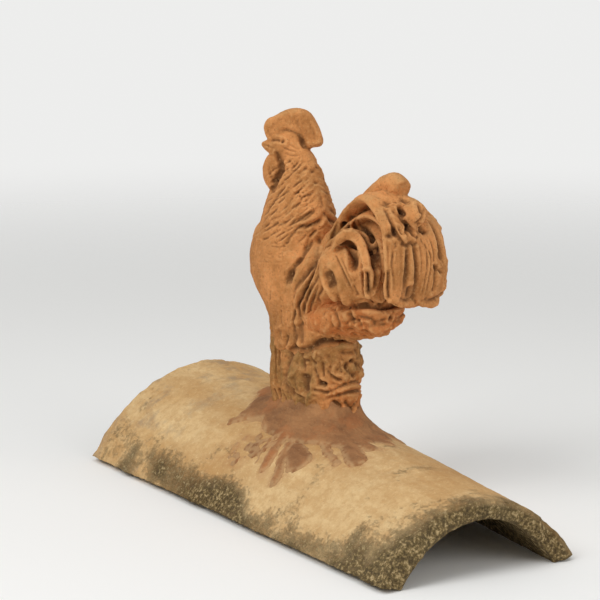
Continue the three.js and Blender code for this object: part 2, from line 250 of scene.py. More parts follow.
# the last steps of a geometry tree: places, real geometry and its material
def placedShape(tree, shape, position, given, out):
    shape = add(tree, "GeometryNodeSetPosition", {"Geometry": shape, "Position": position}).outputs[0]
    shape = add(tree, "GeometryNodeRealizeInstances", {"Geometry": shape}).outputs[0]
    finish = {"Geometry": shape, "Material": given["Material"]}
    tree.links.new(add(tree, "GeometryNodeSetMaterial", finish).outputs[0], out["Geometry"])
    return tree


# runs a geometry tree on loose points and edges, and gives back the plain mesh
def withNodes(points, edges, values, tree, **settings):
    mesh = bpy.data.meshes.new(tree.name)
    mesh.from_pydata([tuple(p) for p in points], edges, [])
    for name, given in values.items():
        flat = np.asarray(given, np.float32)
        kind, field = ("FLOAT_VECTOR", "vector") if flat.ndim == 2 else ("FLOAT", "value")
        mesh.attributes.new(name, kind, "POINT").data.foreach_set(field, flat.ravel())
    carrier = bpy.data.objects.new(tree.name, mesh)
    scene.collection.objects.link(carrier)
    modifier = carrier.modifiers.new(tree.name, "NODES")
    modifier.node_group = tree
    for item in tree.interface.items_tree:
        if item.in_out == "INPUT" and item.name in settings:
            modifier[item.identifier] = settings[item.name]
    evaluated = carrier.evaluated_get(bpy.context.evaluated_depsgraph_get())
    made = bpy.data.meshes.new_from_object(evaluated)
    carrier.modifiers.remove(modifier)
    bpy.data.objects.remove(carrier)
    return made


# Effects that more than one finish uses

def grainGroup():
    tree, given, out = newTree(
        "ShaderNodeTree",
        "clayGrain",
        [("Size", "NodeSocketFloat", 0.002)],
        [("Grain", "NodeSocketFloat"), ("Height", "NodeSocketFloat")],
    )
    coarse = noise(tree, place(tree), given["Size"], 5.0, 0.65)
    scale = ratio(tree, 0.5, given["Size"])
    pores = add(tree, "ShaderNodeTexVoronoi", {"Vector": place(tree), "Scale": scale}).outputs["Distance"]
    height = plus(tree, coarse, times(tree, spread(tree, pores, 0.0, 0.25), 0.4))
    tree.links.new(coarse, out["Grain"])
    tree.links.new(height, out["Height"])
    return tree


def toneGroup():
    # colour that drifts between two tones
    tree, given, out = newTree(
        "ShaderNodeTree",
        "toneDrift",
        [
            ("Dark", "NodeSocketColor", (0.3, 0.2, 0.1, 1)),
            ("Light", "NodeSocketColor", (0.6, 0.4, 0.2, 1)),
            ("Size", "NodeSocketFloat", 0.04),
            ("Stretch", "NodeSocketVector", (1, 1, 1)),
            ("Contrast", "NodeSocketFloat", 1.0),
        ],
        [("Color", "NodeSocketColor"), ("Drift", "NodeSocketFloat")],
    )
    broad = noise(tree, vector(tree, "MULTIPLY", place(tree), given["Stretch"]), given["Size"], 6.0, 0.6)
    reach = ratio(tree, 0.22, given["Contrast"])
    drift = spread(tree, broad, minus(tree, 0.5, reach), plus(tree, 0.5, reach))
    tree.links.new(mixed(tree, drift, given["Dark"], given["Light"]), out["Color"])
    tree.links.new(drift, out["Drift"])
    return tree


# places on the ramp and the colours of the crust there, also used as painted shade on the arch's inner face
crustAndShadeTones = [
    (0.38, (0.022, 0.017, 0.008)),
    (0.48, (0.095, 0.068, 0.026)),
    (0.55, (0.27, 0.19, 0.075)),
    (0.64, (0.62, 0.47, 0.25)),
]


def crustAndShadeGroup():
    # where a dark crust of lichen has taken, from a cover of 0 to 1, which also paints shade on the arch's
    # inner face
    tree, given, out = newTree(
        "ShaderNodeTree",
        "lichenCrustAndShade",
        [("Cover", "NodeSocketFloat", 0.5), ("Size", "NodeSocketFloat", 0.012)],
        [("Mask", "NodeSocketFloat"), ("Color", "NodeSocketColor"), ("Height", "NodeSocketFloat")],
    )
    patch = noise(tree, place(tree), given["Size"], 9.0, 0.78)
    fine = noise(tree, place(tree), times(tree, given["Size"], 0.16), 5.0, 0.72)
    both = plus(tree, times(tree, patch, 0.6), times(tree, fine, 0.4))
    cover = minus(tree, given["Cover"], 1.0)
    mask = spread(tree, plus(tree, both, cover), -0.14, 0.12)
    ramp = add(tree, "ShaderNodeValToRGB", {"Fac": fine})
    for position, colour in crustAndShadeTones[2:]:
        ramp.color_ramp.elements.new(position)
    for element, (position, colour) in zip(ramp.color_ramp.elements, crustAndShadeTones):
        element.position = position
        element.color = (*colour, 1)
    tree.links.new(mask, out["Mask"])
    tree.links.new(ramp.outputs["Color"], out["Color"])
    tree.links.new(fine, out["Height"])
    return tree


clayGrain, toneDrift, lichenCrustAndShade = grainGroup(), toneGroup(), crustAndShadeGroup()


# where toneDrift turns to its light tone, from 0 to 1
def driftMask(tree, size, stretch, contrast):
    return filled(tree, toneDrift, {"Size": size, "Stretch": stretch, "Contrast": contrast})["Drift"]


# the colour laid over another where a mask says so
def laid(tree, mask, share, under, over):
    return mixed(tree, times(tree, mask, share), under, over)


def newMaterial(name):
    material = bpy.data.materials.new(name)
    material.use_nodes = True
    return material, material.node_tree, material.node_tree.nodes["Principled BSDF"]


# heights: (height, depth in metres) from broad to fine
def finishSurface(tree, shader, colour, roughness, heights):
    normal = None
    for height, depth in heights:
        bump = add(tree, "ShaderNodeBump", {"Height": height, "Distance": depth, "Strength": 1.0})
        if normal is not None:
            tree.links.new(normal, bump.inputs["Normal"])
        normal = bump.outputs["Normal"]
    plug(tree, shader, "Base Color", colour)
    plug(tree, shader, "Roughness", roughness)
    plug(tree, shader, "Normal", normal)
    shader.inputs["Specular IOR Level"].default_value = 0.25


# Ridge tile

tileShape = {
    "length": 450.0,
    "wideWidth": 230.0,  # across the feet at -X
    "wideRise": 79.0,
    "narrowWidth": 170.0,  # across the feet at +X
    "narrowRise": 58.0,
    "wall": 15.0,
    "flankShare": 1.15,  # the wall measured level, across a flank
    "archAngle": math.radians(50),
    "footLift": 4.0,
    "alongSteps": 250,
    "aroundSteps": 176,
    "throughSteps": 9,
    "edgeRadius": 3.2,
    # knocked out of the narrow rim: place across, half width, depth
    "chips": [(-34, 13, 7), (-58, 8, 5), (-16, 7, 3.5), (30, 10, 3), (63, 7, 4.5), (-72, 6, 5)],
    # single dents: x, y, radius, depth
    "dents": [
        (-150, -30, 5, 2.2), (-160, 0, 7, 1.6), (-120, -40, 8, 1.2),
        (-60, -62, 6, 1.4), (60, -60, 7, 1.0), (120, -20, 6, 0.9),
    ],
    "rimReach": 14,  # how far in from the narrow end the chips are felt
    "farReach": 12,
}

# inputs of the arch, and the settings that fill them
archSizes = {
    "Length": "length", "Wide Width": "wideWidth", "Wide Rise": "wideRise", "Narrow Width": "narrowWidth",
    "Narrow Rise": "narrowRise", "Wall": "wall", "Flank Share": "flankShare", "Arch Angle": "archAngle",
    "Foot Lift": "footLift",
}
archSteps = {"Along": "alongSteps", "Around": "aroundSteps", "Through": "throughSteps"}

tileLook = {
    "ochre": (0.50, 0.275, 0.10, 1),
    "buff": (0.68, 0.44, 0.20, 1),
    "pale": (0.86, 0.66, 0.36, 1),
    "grey": (0.30, 0.22, 0.15, 1),
    "stain": (0.42, 0.20, 0.085, 1),
}


def archShare(turn):
    low = math.cos(tileShape["archAngle"])
    return (np.cos(turn) - low) / (1 - low)


# height of the tile's outer face
def tileTop(x, y):
    share = np.clip(x / tileShape["length"] + 0.5, 0, 1)
    width = tileShape["wideWidth"] + (tileShape["narrowWidth"] - tileShape["wideWidth"]) * share
    rise = tileShape["wideRise"] + (tileShape["narrowRise"] - tileShape["wideRise"]) * share
    sine = math.sin(tileShape["archAngle"])
    turn = np.arcsin(np.clip(2 * np.abs(y) * sine / width, 0, sine))
    return tileShape["footLift"] + (rise - tileShape["footLift"]) * archShare(turn)


# a block of quads bent into a tapered arch
def archTree():
    inputs = [(label, "NodeSocketFloat", 1.0) for label in archSizes]
    inputs += [(label, "NodeSocketInt", 8) for label in archSteps]
    inputs = [("Geometry", "NodeSocketGeometry", None), *inputs, ("Material", "NodeSocketMaterial", None)]
    outputs = [("Geometry", "NodeSocketGeometry")]
    tree, given, out = newTree("GeometryNodeTree", "taperedArch", inputs, outputs)
    counts = {"Vertices X": given["Along"], "Vertices Y": given["Around"], "Vertices Z": given["Through"]}
    block = add(tree, "GeometryNodeMeshCube", {"Size": (1, 1, 1), **counts})
    start = add(tree, "GeometryNodeInputPosition").outputs[0]
    spot = add(tree, "ShaderNodeSeparateXYZ", {0: start}).outputs
    level = plus(tree, spot["X"], 0.5)
    wave = number(tree, "SINE", times(tree, level, 2 * math.pi))
    crowd = times(tree, wave, 0.45 / (2 * math.pi))
    along = minus(tree, level, crowd)  # closer rows at the two ends
    around = times(tree, spot["Y"], 2.0)
    outward = plus(tree, spot["Z"], 0.5)

    def between(low, high, share):
        return plus(tree, low, times(tree, minus(tree, high, low), share))

    inward = minus(tree, 1.0, outward)
    width = between(given["Wide Width"], given["Narrow Width"], along)
    loss = times(tree, times(tree, given["Wall"], given["Flank Share"]), 2.0)
    width = minus(tree, width, times(tree, loss, inward))
    rise = between(given["Wide Rise"], given["Narrow Rise"], along)
    rise = minus(tree, rise, times(tree, given["Wall"], inward))
    lift = times(tree, given["Foot Lift"], outward)
    turn = times(tree, around, given["Arch Angle"])
    across = ratio(tree, number(tree, "SINE", turn), number(tree, "SINE", given["Arch Angle"]))
    low = number(tree, "COSINE", given["Arch Angle"])
    share = ratio(tree, minus(tree, number(tree, "COSINE", turn), low), minus(tree, 1.0, low))
    x = times(tree, minus(tree, along, 0.5), given["Length"])
    y = times(tree, across, times(tree, width, 0.5))
    z = between(lift, rise, share)
    bent = add(tree, "ShaderNodeCombineXYZ", {"X": x, "Y": y, "Z": z}).outputs[0]
    shape = block.outputs["Mesh"]
    for label, value in (("along", along), ("around", around), ("outward", outward)):
        kept = {"Geometry": shape, "Name": label, "Value": value}
        keep = add(tree, "GeometryNodeStoreNamedAttribute", kept, domain="POINT", data_type="FLOAT")
        shape = keep.outputs["Geometry"]
    return placedShape(tree, shape, bent, given, out)


def valuesOf(mesh, name):
    values = np.zeros(len(mesh.vertices), np.float32)
    mesh.attributes[name].data.foreach_get("value", values)
    return values.astype(float)


# how much dark crust each place takes: lichen at the foot, the narrow rim and in blots, and painted shade
# on the arch's inner face
def crustAndShadeCover(points, outward):
    x, y, z = points.T
    lean = -y / 100  # 1 near the -Y foot
    broad = 0.5 * lumps(points, 34, 45) + 0.3 * lumps(points, 15, 46)
    low = 1 - ease(z, 2, 40 + 12 * ease(x, 20, 200) + 16 * broad)
    foot = low * ease(lean, 0.1, 0.6) * (0.5 + 0.5 * ease(x, -150, 40))
    rim = ease(x, 190, 224) * 0.55 + 0.5 * ease(x, 120, 215) * ease(lean, 0.0, 0.7)
    rim = rim + 0.2 * ease(x, 200, 224)
    blots = 0.4 * np.exp(-(((x + 108) / 30) ** 2 + ((z - 17) / 15) ** 2)) * (y < 0)
    blots += 0.45 * np.exp(-(((x + 20) / 40) ** 2 + ((z - 14) / 17) ** 2)) * (y < 0)
    # painted shade: heavy dark crust on the arch's inner face, under the arch
    inside = 0.5 * (1 - ease(outward, 0.3, 0.9)) + 0.2 * (outward < 0.05)
    cover = 0.26 + 0.23 * foot + 0.3 * np.clip(rim, 0, 1) + 0.6 * blots + inside + 0.2 * broad
    return np.clip(cover, 0, 0.74)


def weatheredTile():
    material, tree, shader = newMaterial("weatheredTile")
    spot = add(tree, "ShaderNodeSeparateXYZ", {0: place(tree)}).outputs
    tones = {"Dark": tileLook["ochre"], "Light": tileLook["buff"]}
    body = filled(tree, toneDrift, {**tones, "Size": 0.045, "Stretch": (0.45, 1, 1), "Contrast": 1.1})
    chalk = driftMask(tree, 0.07, (0.5, 1, 1), 1.3)
    colour = laid(tree, chalk, 0.55, body["Color"], tileLook["pale"])
    brush = driftMask(tree, 0.006, (0.09, 1, 1), 1.0)
    colour = laid(tree, brush, 0.22, colour, tileLook["ochre"])
    patch = spread(tree, noise(tree, place(tree), 0.03, 5.0), 0.5, 0.66)
    farEnd = times(tree, spread(tree, spot["X"], -0.08, -0.17), patch)
    colour = laid(tree, farEnd, 0.6, colour, tileLook["grey"])
    blotch = spread(tree, noise(tree, place(tree), 0.009, 6.0, 0.72), 0.4, 0.62)
    colour = laid(tree, blotch, 0.45, colour, tileLook["ochre"])
    colour = mixed(tree, named(tree, "stain"), colour, tileLook["stain"])
    grain = filled(tree, clayGrain, {"Size": 0.0026})
    speck = spread(tree, grain["Grain"], 0.56, 0.68)
    colour = laid(tree, speck, 0.35, colour, tileLook["pale"])
    speck = spread(tree, grain["Grain"], 0.4, 0.3)
    colour = laid(tree, speck, 0.4, colour, tileLook["stain"])
    # dark crust: lichen, and painted shade on the arch's inner face
    crustAndShade = filled(tree, lichenCrustAndShade, {"Cover": named(tree, "crustAndShade"), "Size": 0.02})
    colour = laid(tree, crustAndShade["Mask"], 0.88, colour, crustAndShade["Color"])
    scaly = times(tree, crustAndShade["Mask"], crustAndShade["Height"])
    heights = [(brush, 0.0002), (grain["Height"], 0.0009), (scaly, 0.003)]
    finishSurface(tree, shader, colour, 0.9, heights)
    return material


def buildTile():
    shape = tileShape
    look = weatheredTile()
    settings = {label: shape[key] for label, key in {**archSizes, **archSteps}.items()}
    mesh = withNodes([(0, 0, 0)], [], {}, archTree(), **settings, Material=look)
    points = arrays(mesh)[0]
    along, outward = valuesOf(mesh, "along"), valuesOf(mesh, "outward")
    half = shape["length"] / 2
    # worn edges: the corner between a face and an end is turned into a round
    toEnd = shape["length"] * np.minimum(along, 1 - along)
    toFace = shape["wall"] * np.minimum(outward, 1 - outward)
    radius = shape["edgeRadius"] * (1 + 0.5 * lumps(points, 25, 3))
    alongFace = np.clip(toEnd / radius, 0, 1)
    acrossEnd = np.clip(toFace / radius, 0, 1)
    touching = 0.01  # nearer than this is on the face, or on the end
    onFace, onEnd = toFace < touching, toEnd < touching
    sink = np.where(onFace, radius * (1 - np.sin(math.pi / 4 * (1 + alongFace))), 0)
    pull = np.where(onEnd, radius * (1 - np.sin(math.pi / 4 * (1 + acrossEnd))), 0)
    pull = np.where(onFace & ~onEnd, 0, pull)
    acrossShare = points[:, 1] / (shape["wideWidth"] / 2)
    upShare = np.maximum(points[:, 2], 5) / shape["wideRise"]
    outerNormal = unit(np.stack([np.zeros(len(points)), acrossShare, upShare], 1))
    side = np.where(outward > 0.5, 1, -1)[:, None]
    points -= outerNormal * side * (sink * onFace)[:, None]
    points[:, 0] -= np.sign(points[:, 0]) * pull
    # the broken narrow rim
    toRim = half - points[:, 0]
    chip = 1.2 * np.abs(lumps(points * [0, 1, 1], 9, 5)) + 0.8 * np.abs(lumps(points, 4, 6))
    for across, halfWidth, depth in shape["chips"]:
        bite = np.exp(-(((points[:, 1] - across) / halfWidth) ** 4))
        chip += depth * bite * (0.15 + 0.85 * ease(outward, 0.1, 0.95)) * (1 + 0.3 * lumps(points, 5, 8))
    points[:, 0] -= chip * (1 - ease(toRim, 0, shape["rimReach"]))
    toFar = points[:, 0] + half
    ragged = 0.9 * np.abs(lumps(points, 12, 9)) + 0.5 * np.abs(lumps(points, 4, 6))
    points[:, 0] += ragged * (1 - ease(toFar, 0, shape["farReach"]))
    # a surface drawn by hand over a former, then worn
    putPoints(mesh, points)
    normals = normalsOf(mesh)
    cover = crustAndShadeCover(points, outward)
    lift = 0.8 * lumps(points, 55, 11) + 0.45 * lumps(points * [0.4, 1, 1], 16, 12)
    lift = lift + 0.22 * lumps(points, 7, 13)
    rough = 0.3 + 0.9 * ease(-points[:, 0], 40, 170) + 1.2 * ease(cover, 0.4, 0.8)
    clods = 0.45 * lumps(points, 4.8, 15) + 0.5 * lumps(points, 11, 47)
    lift += 0.2 * lumps(points, 3.4, 14) + rough * clods
    lift -= 0.6 * ease(lumps(points, 10, 16), 0.45, 0.8)
    for x, y, radius, depth in shape["dents"]:
        away = np.hypot(points[:, 0] - x, (points[:, 1] - y)) / radius
        lift -= depth * np.exp(-(away**2)) * (outward > 0.5) * (1 + 0.4 * lumps(points, 3, 17))
    points += normals * (lift * (1 - 0.5 * (outward < 0.5)))[:, None]
    points[:, 2] = np.maximum(points[:, 2], 0)
    points[:, 0] = np.clip(points[:, 0], -half, half)
    bed = bedReach(points[:, 0], points[:, 1])
    blots = ease(lumps(points, 9, 18) + 0.5 * lumps(points, 3, 19), -0.15, 0.5)
    stain = np.clip(ease(bed, -9, 1) * 0.55 * blots, 0, 1) * (outward > 0.5)
    putPoints(mesh, points * metre)
    putValues(mesh, "crustAndShade", cover)
    putValues(mesh, "stain", stain)
    return finishedPiece("ridgeTile", mesh, look, "ridge_tile")


# Mortar bed

bedShape = {
    # plan outline of the solid bed, anticlockwise from the tail end
    "outline": [
        (66, 14), (50, 30), (26, 38), (6, 48), (-14, 52), (-32, 42), (-58, 44), (-82, 36), (-104, 24),
        (-122, 8), (-112, -4), (-97, -18), (-85, -32), (-79, -43), (-66, -42), (-52, -38), (-42, -40),
        (-28, -43), (-12, -42), (6, -41), (20, -37), (42, -27), (54, -20), (62, -8), (66, 2),
    ],
    # smears drawn down the flanks: from, to, half width
    "smears": [
        ((-6, -40), (10, -67), 4.5),
        ((8, -44), (34, -69), 4.0),
        ((22, -46), (40, -52), 9.0),
        ((38, -28), (76, -37), 2.2),
        ((54, -14), (86, -25), 7.5),
        ((56, -4), (75, -6), 6.0),
        ((50, 12), (66, 15), 5.0),
        ((-70, -40), (-80, -50), 2.5),
        ((0, 44), (8, 58), 5.0),
        ((-14, 48), (-22, 62), 4.0),
        ((28, 34), (44, 40), 5.0),
        ((-92, 30), (-106, 34), 4.0),
    ],
    "patch": ((-22, -57), (26, 13), 0.45),  # centre, reach and turn of a smear that has mostly come away
    "spanX": (-140, 104),
    "spanY": (-84, 76),
    "pitch": 0.85,
    "rim": 2.0,
    "height": 19.0,
    "fillet": 8.5,
    "sunk": 2.4,  # how far the piece reaches into the tile
}

mortarLook = {
    "dark": (0.22, 0.10, 0.042, 1),
    "light": (0.44, 0.215, 0.088, 1),
    "red": (0.42, 0.15, 0.05, 1),
    "dust": (0.58, 0.37, 0.18, 1),
}

mound = {"centreX": 4.0, "halfLength": 46.0, "halfWidth": 24.0}  # in the bird's frame
birdAt = {"x": -24.0, "turn": math.radians(9)}


def toWorld(points):
    c, s = math.cos(birdAt["turn"]), math.sin(birdAt["turn"])
    x, y, z = points[:, 0], points[:, 1], points[:, 2]
    return np.stack([birdAt["x"] + c * x - s * y, s * x + c * y, z], 1)


def toBird(points):
    c, s = math.cos(birdAt["turn"]), math.sin(birdAt["turn"])
    x, y = points[:, 0] - birdAt["x"], points[:, 1]
    return np.stack([c * x + s * y, -s * x + c * y, points[:, 2]], 1)


# distance to a run of straight lengths, and how far along it the nearest place is
def runDistance(u, v, path):
    best, share = np.full(len(u), 1e9), np.zeros(len(u))
    path = np.asarray(path, float)
    steps = len(path) - 1
    for i in range(steps):
        (ax, ay), (bx, by) = path[i], path[i + 1]
        squared = max((bx - ax) ** 2 + (by - ay) ** 2, 1e-9)
        t = np.clip(((u - ax) * (bx - ax) + (v - ay) * (by - ay)) / squared, 0, 1)
        away = np.hypot(u - ax - t * (bx - ax), v - ay - t * (by - ay))
        closer = away < best
        best[closer] = away[closer]
        share[closer] = (i + t[closer]) / steps
    return best, share


# signed distance inside the outline of the bed, ragged
def bedReach(x, y):
    flat = np.stack([x, y, np.zeros(len(x))], 1)
    ring = bedShape["outline"] + bedShape["outline"][:1]
    away, _ = runDistance(x, y, ring)
    inside = np.zeros(len(x), bool)
    for (ax, ay), (bx, by) in zip(ring, ring[1:]):
        crosses = (ay > y) != (by > y)
        inside ^= crosses & (x < ax + (y - ay) * (bx - ax) / (by - ay if by != ay else 1))
    reach = np.where(inside, away, -away) + 1.6 * lumps(flat, 8, 21)
    for start, end, half in bedShape["smears"]:
        away, _ = runDistance(x, y, [start, end])
        reach = np.maximum(reach, half - away + 1.2 * lumps(flat, 6, 22))
    (cx, cy), (rx, ry), turn = bedShape["patch"]
    u = ((x - cx) * math.cos(turn) + (y - cy) * math.sin(turn)) / rx
    v = (-(x - cx) * math.sin(turn) + (y - cy) * math.cos(turn)) / ry
    patch = 5.0 * (1 - np.hypot(u, v)) - 2.6 + 3.4 * lumps(flat, 5, 23) + 2.0 * lumps(flat, 2.6, 24)
    return np.maximum(reach, np.minimum(patch, 1.2)) + 0.9 * lumps(flat, 2.8, 25)


def bedMortar():
    material, tree, shader = newMaterial("bedMortar")
    tones = {"Dark": mortarLook["dark"], "Light": mortarLook["light"]}
    base = filled(tree, toneDrift, {**tones, "Size": 0.022, "Stretch": (0.6, 1, 1.3), "Contrast": 1.1})
    red = spread(tree, noise(tree, place(tree), 0.03, 3.0), 0.52, 0.68)
    colour = laid(tree, red, 0.6, base["Color"], mortarLook["red"])
    smear = driftMask(tree, 0.005, (0.16, 0.5, 1), 1.2)
    colour = laid(tree, smear, 0.3, colour, mortarLook["light"])
    colour = mixed(tree, named(tree, "thin"), colour, mortarLook["dust"])
    grain = filled(tree, clayGrain, {"Size": 0.0018})
    speck = spread(tree, grain["Grain"], 0.56, 0.72)
    colour = laid(tree, speck, 0.35, colour, mortarLook["dust"])
    finishSurface(tree, shader, colour, 0.92, [(smear, 0.0006), (grain["Height"], 0.0006)])
    return material


def buildBed():
    pitch = bedShape["pitch"]
    xs = np.arange(*bedShape["spanX"], pitch)
    ys = np.arange(*bedShape["spanY"], pitch)
    gx, gy = np.meshgrid(xs, ys, indexing="ij")
    x, y = gx.ravel(), gy.ravel()
    flat = np.stack([x, y, np.zeros(len(x))], 1)
    bird = toBird(flat)
    level, side = bird[:, 0] - mound["centreX"], bird[:, 1]
    outside = np.hypot(level / mound["halfLength"], side / mound["halfWidth"])
    toMound = np.hypot(level, side) * np.maximum(1 - 1 / np.maximum(outside, 1), 0)
    reach = bedReach(x, y)
    body = np.where(reach > 0, bedShape["rim"] * ease(reach, -1.5, 7), reach * 0.9)
    crumble = 1 + 0.22 * lumps(flat, 9, 48) + 0.16 * lumps(flat, 4, 49)
    rise = (bedShape["height"] - bedShape["rim"]) * crumble * np.exp(-toMound / bedShape["fillet"])
    smear = 0.5 * lumps(flat * [0.25, 1, 1], 4, 26) + 0.7 * lumps(flat * [0.5, 1, 1], 11, 27)
    smear = smear + 0.2 * lumps(flat, 2.2, 28)
    thick = body + (rise + smear * ease(reach, 1, 8)) * (reach > 0)
    keep = (reach > -2.2) & (outside > 0.86)
    base = tileTop(x, y)
    count = len(xs), len(ys)
    top = np.stack([x, y, base + 0.5 + thick], 1)
    bottom = np.stack([x, y, base - bedShape["sunk"] - 0.6], 1)
    keep = keep.reshape(count)
    cells = keep[:-1, :-1] & keep[1:, :-1] & keep[1:, 1:] & keep[:-1, 1:]
    index = np.arange(count[0] * count[1]).reshape(count)
    square = index[:-1, :-1], index[1:, :-1], index[1:, 1:], index[:-1, 1:]
    a, b, c, d = (corner[cells] for corner in square)
    shift = len(x)
    faces = [np.stack([a, b, c, d], 1), np.stack([d, c, b, a], 1) + shift]
    padded = np.pad(cells, 1)
    inner = padded[1:-1, 1:-1]
    for dx, dy, first, second in ((-1, 0, 3, 0), (1, 0, 1, 2), (0, -1, 0, 1), (0, 1, 2, 3)):
        beyond = padded[1 + dx : padded.shape[0] - 1 + dx, 1 + dy : padded.shape[1] - 1 + dy]
        rim = inner & ~beyond
        p, q = square[first][rim], square[second][rim]
        faces.append(np.stack([q, p, p + shift, q + shift], 1))
    faces = np.vstack(faces)
    used, packed = np.unique(faces, return_inverse=True)
    points = np.vstack([top, bottom])[used]
    mesh = meshFrom("mortarBed", points, packed.reshape(faces.shape).tolist())
    spots, edges = arrays(mesh)
    reachHere = np.concatenate([reach, reach])[used]
    thin = np.clip(0.55 * (1 - ease(reachHere, 0.2, 3.5)) * (lumps(spots, 3, 29) > -0.3), 0, 1)
    putPoints(mesh, spots * metre)
    putValues(mesh, "thin", relaxed(thin, edges, 1))
    return finishedPiece("mortarBed", mesh, bedMortar(), "mortar_collar")


# Cockerel

# a round sweep along loose runs of points that carry their own widths
def runTree():
    inputs = [
        ("Geometry", "NodeSocketGeometry", None),
        ("Sides", "NodeSocketInt", 24),
        ("Ribs", "NodeSocketFloat", 0.0),
        ("Rib Depth", "NodeSocketFloat", 0.0),
        ("Material", "NodeSocketMaterial", None),
    ]
    tree, given, out = newTree("GeometryNodeTree", "clayRun", inputs, [("Geometry", "NodeSocketGeometry")])
    line = add(tree, "GeometryNodeMeshToCurve", {"Mesh": given["Geometry"]}).outputs[0]
    kept = tree.nodes.new("GeometryNodeCaptureAttribute")
    kept.capture_items.new("VECTOR", "centre")
    kept.capture_items.new("VECTOR", "tangent")
    tree.links.new(line, kept.inputs["Geometry"])
    tree.links.new(add(tree, "GeometryNodeInputPosition").outputs[0], kept.inputs["centre"])
    tree.links.new(add(tree, "GeometryNodeInputTangent").outputs[0], kept.inputs["tangent"])
    profile = {"Resolution": given["Sides"], "Radius": 1.0}
    ring = add(tree, "GeometryNodeCurvePrimitiveCircle", profile).outputs["Curve"]
    sweep = {"Curve": kept.outputs["Geometry"], "Profile Curve": ring, "Fill Caps": True}
    swept = add(tree, "GeometryNodeCurveToMesh", sweep).outputs[0]
    centre, tangent = kept.outputs["centre"], kept.outputs["tangent"]

    def carried(name, kind):
        read = add(tree, "GeometryNodeInputNamedAttribute", {"Name": name}, data_type=kind)
        return read.outputs["Attribute"]

    halfWide, halfDeep = carried("halfWide", "FLOAT"), carried("halfDeep", "FLOAT")
    across = carried("across", "FLOAT_VECTOR")
    lean = vector(tree, "DOT_PRODUCT", across, tangent, result="Value")
    wide = vector(tree, "NORMALIZE", vector(tree, "SUBTRACT", across, vector(tree, "SCALE", tangent, lean)))
    deep = vector(tree, "CROSS_PRODUCT", tangent, wide)
    spoke = vector(tree, "SUBTRACT", add(tree, "GeometryNodeInputPosition").outputs[0], centre)
    x = vector(tree, "DOT_PRODUCT", spoke, wide, result="Value")
    y = vector(tree, "DOT_PRODUCT", spoke, deep, result="Value")
    wave = number(tree, "ABSOLUTE", number(tree, "SINE", times(tree, x, given["Ribs"])))
    rib = times(tree, minus(tree, number(tree, "POWER", wave, 0.6), 1.0), given["Rib Depth"])
    rib = times(tree, rib, number(tree, "MINIMUM", times(tree, halfDeep, 0.25), 1.0))
    alongWide = vector(tree, "SCALE", wide, times(tree, x, halfWide))
    alongDeep = vector(tree, "SCALE", deep, times(tree, y, plus(tree, halfDeep, rib)))
    moved = vector(tree, "ADD", centre, vector(tree, "ADD", alongWide, alongDeep))
    return placedShape(tree, swept, moved, given, out)


clayRun = runTree()


# runs of (path, half widths, half depths, across); gives back points and faces
def sweptRuns(runs, sides=24, ribs=0.0, ribDepth=0.0):
    edges, start = [], 0
    for path, *_ in runs:
        edges += [(start + i, start + i + 1) for i in range(len(path) - 1)]
        start += len(path)
    values = {
        "halfWide": np.concatenate([r[1] for r in runs]),
        "halfDeep": np.concatenate([r[2] for r in runs]),
        "across": np.vstack([np.broadcast_to(r[3], r[0].shape) for r in runs]),
    }
    mesh = withNodes(
        np.vstack([r[0] for r in runs]), edges, values, clayRun,
        **{"Sides": sides, "Ribs": ribs, "Rib Depth": ribDepth},
    )
    return arrays(mesh)[0], [tuple(p.vertices) for p in mesh.polygons]


# stations of x, y, z, half depth, half width
def bodyRun(stations, steps=60, rounding=0.12, across=(0, 1, 0)):
    t = 0.5 - 0.5 * np.cos(np.linspace(0, math.pi, steps))
    s = np.array(stations, float)
    path = through(s[:, :3], t)
    girth = through(s[:, 3:5], t)
    blunt = np.sqrt(np.maximum(1 - np.clip(1 - np.minimum(t, 1 - t) / rounding, 0, 1) ** 2, 0.0025))
    return path, girth[:, 1] * blunt, girth[:, 0] * blunt, np.array(across, float)


def endRound(t, start):
    return np.sqrt(np.maximum(1 - np.clip((t - start) / (1 - start), 0, 1) ** 2 * 0.97, 0.01))


# a strap of clay from the root, through places given as shares of its reach and heights over the root
def featherRun(root, yaw, reach, shape, width, thickness, roll=0.0, taper=0.6, endAt=0.8):
    out = np.array([math.cos(math.radians(yaw)), math.sin(math.radians(yaw)), 0])
    level = np.array([-out[1], out[0], 0])
    places = [np.array(root, float) + out * reach * share + [0, 0, height] for share, height in shape]
    t = np.linspace(0, 1, 70)
    tilt = math.radians(roll)
    across = level * math.cos(tilt) + np.array([0, 0, math.sin(tilt)])
    widths = width / 2 * (taper + (1 - taper) * np.minimum(t / 0.4, 1)) * endRound(t, endAt)
    return through(places, 70), widths, thickness / 2 * endRound(t, 0.9), across


def sickle(root, yaw, reach, crest, drop, width, thickness=8.0, roll=0.0, endAt=0.8):
    tip = (0.7 * crest - drop) / 2
    shape = [(0, 0), (0.32, 0.66 * crest), (0.66, crest), (0.92, 0.7 * crest), (1, tip), (0.95, -drop)]
    return featherRun(root, yaw, reach, shape, width, thickness, roll, 0.6, endAt)


def curl(root, yaw, reach, crest, fall, width, thickness, endAt=0.9):
    shape = [(0, 0), (0.4, 0.66 * crest), (0.8, crest), (1, crest - fall)]
    return featherRun(root, yaw, reach, shape, width, thickness, 0, 1.0, endAt)


def mirrored(run):
    flip = np.array([1, -1, 1])
    return run[0] * flip, run[1], run[2], run[3] * flip


# the same stations on the side of the bird that is asked for, 1 or -1
def onSide(stations, side, lift=0):
    return [(x, side * y, z + lift, depth, width) for x, y, z, depth, width in stations]


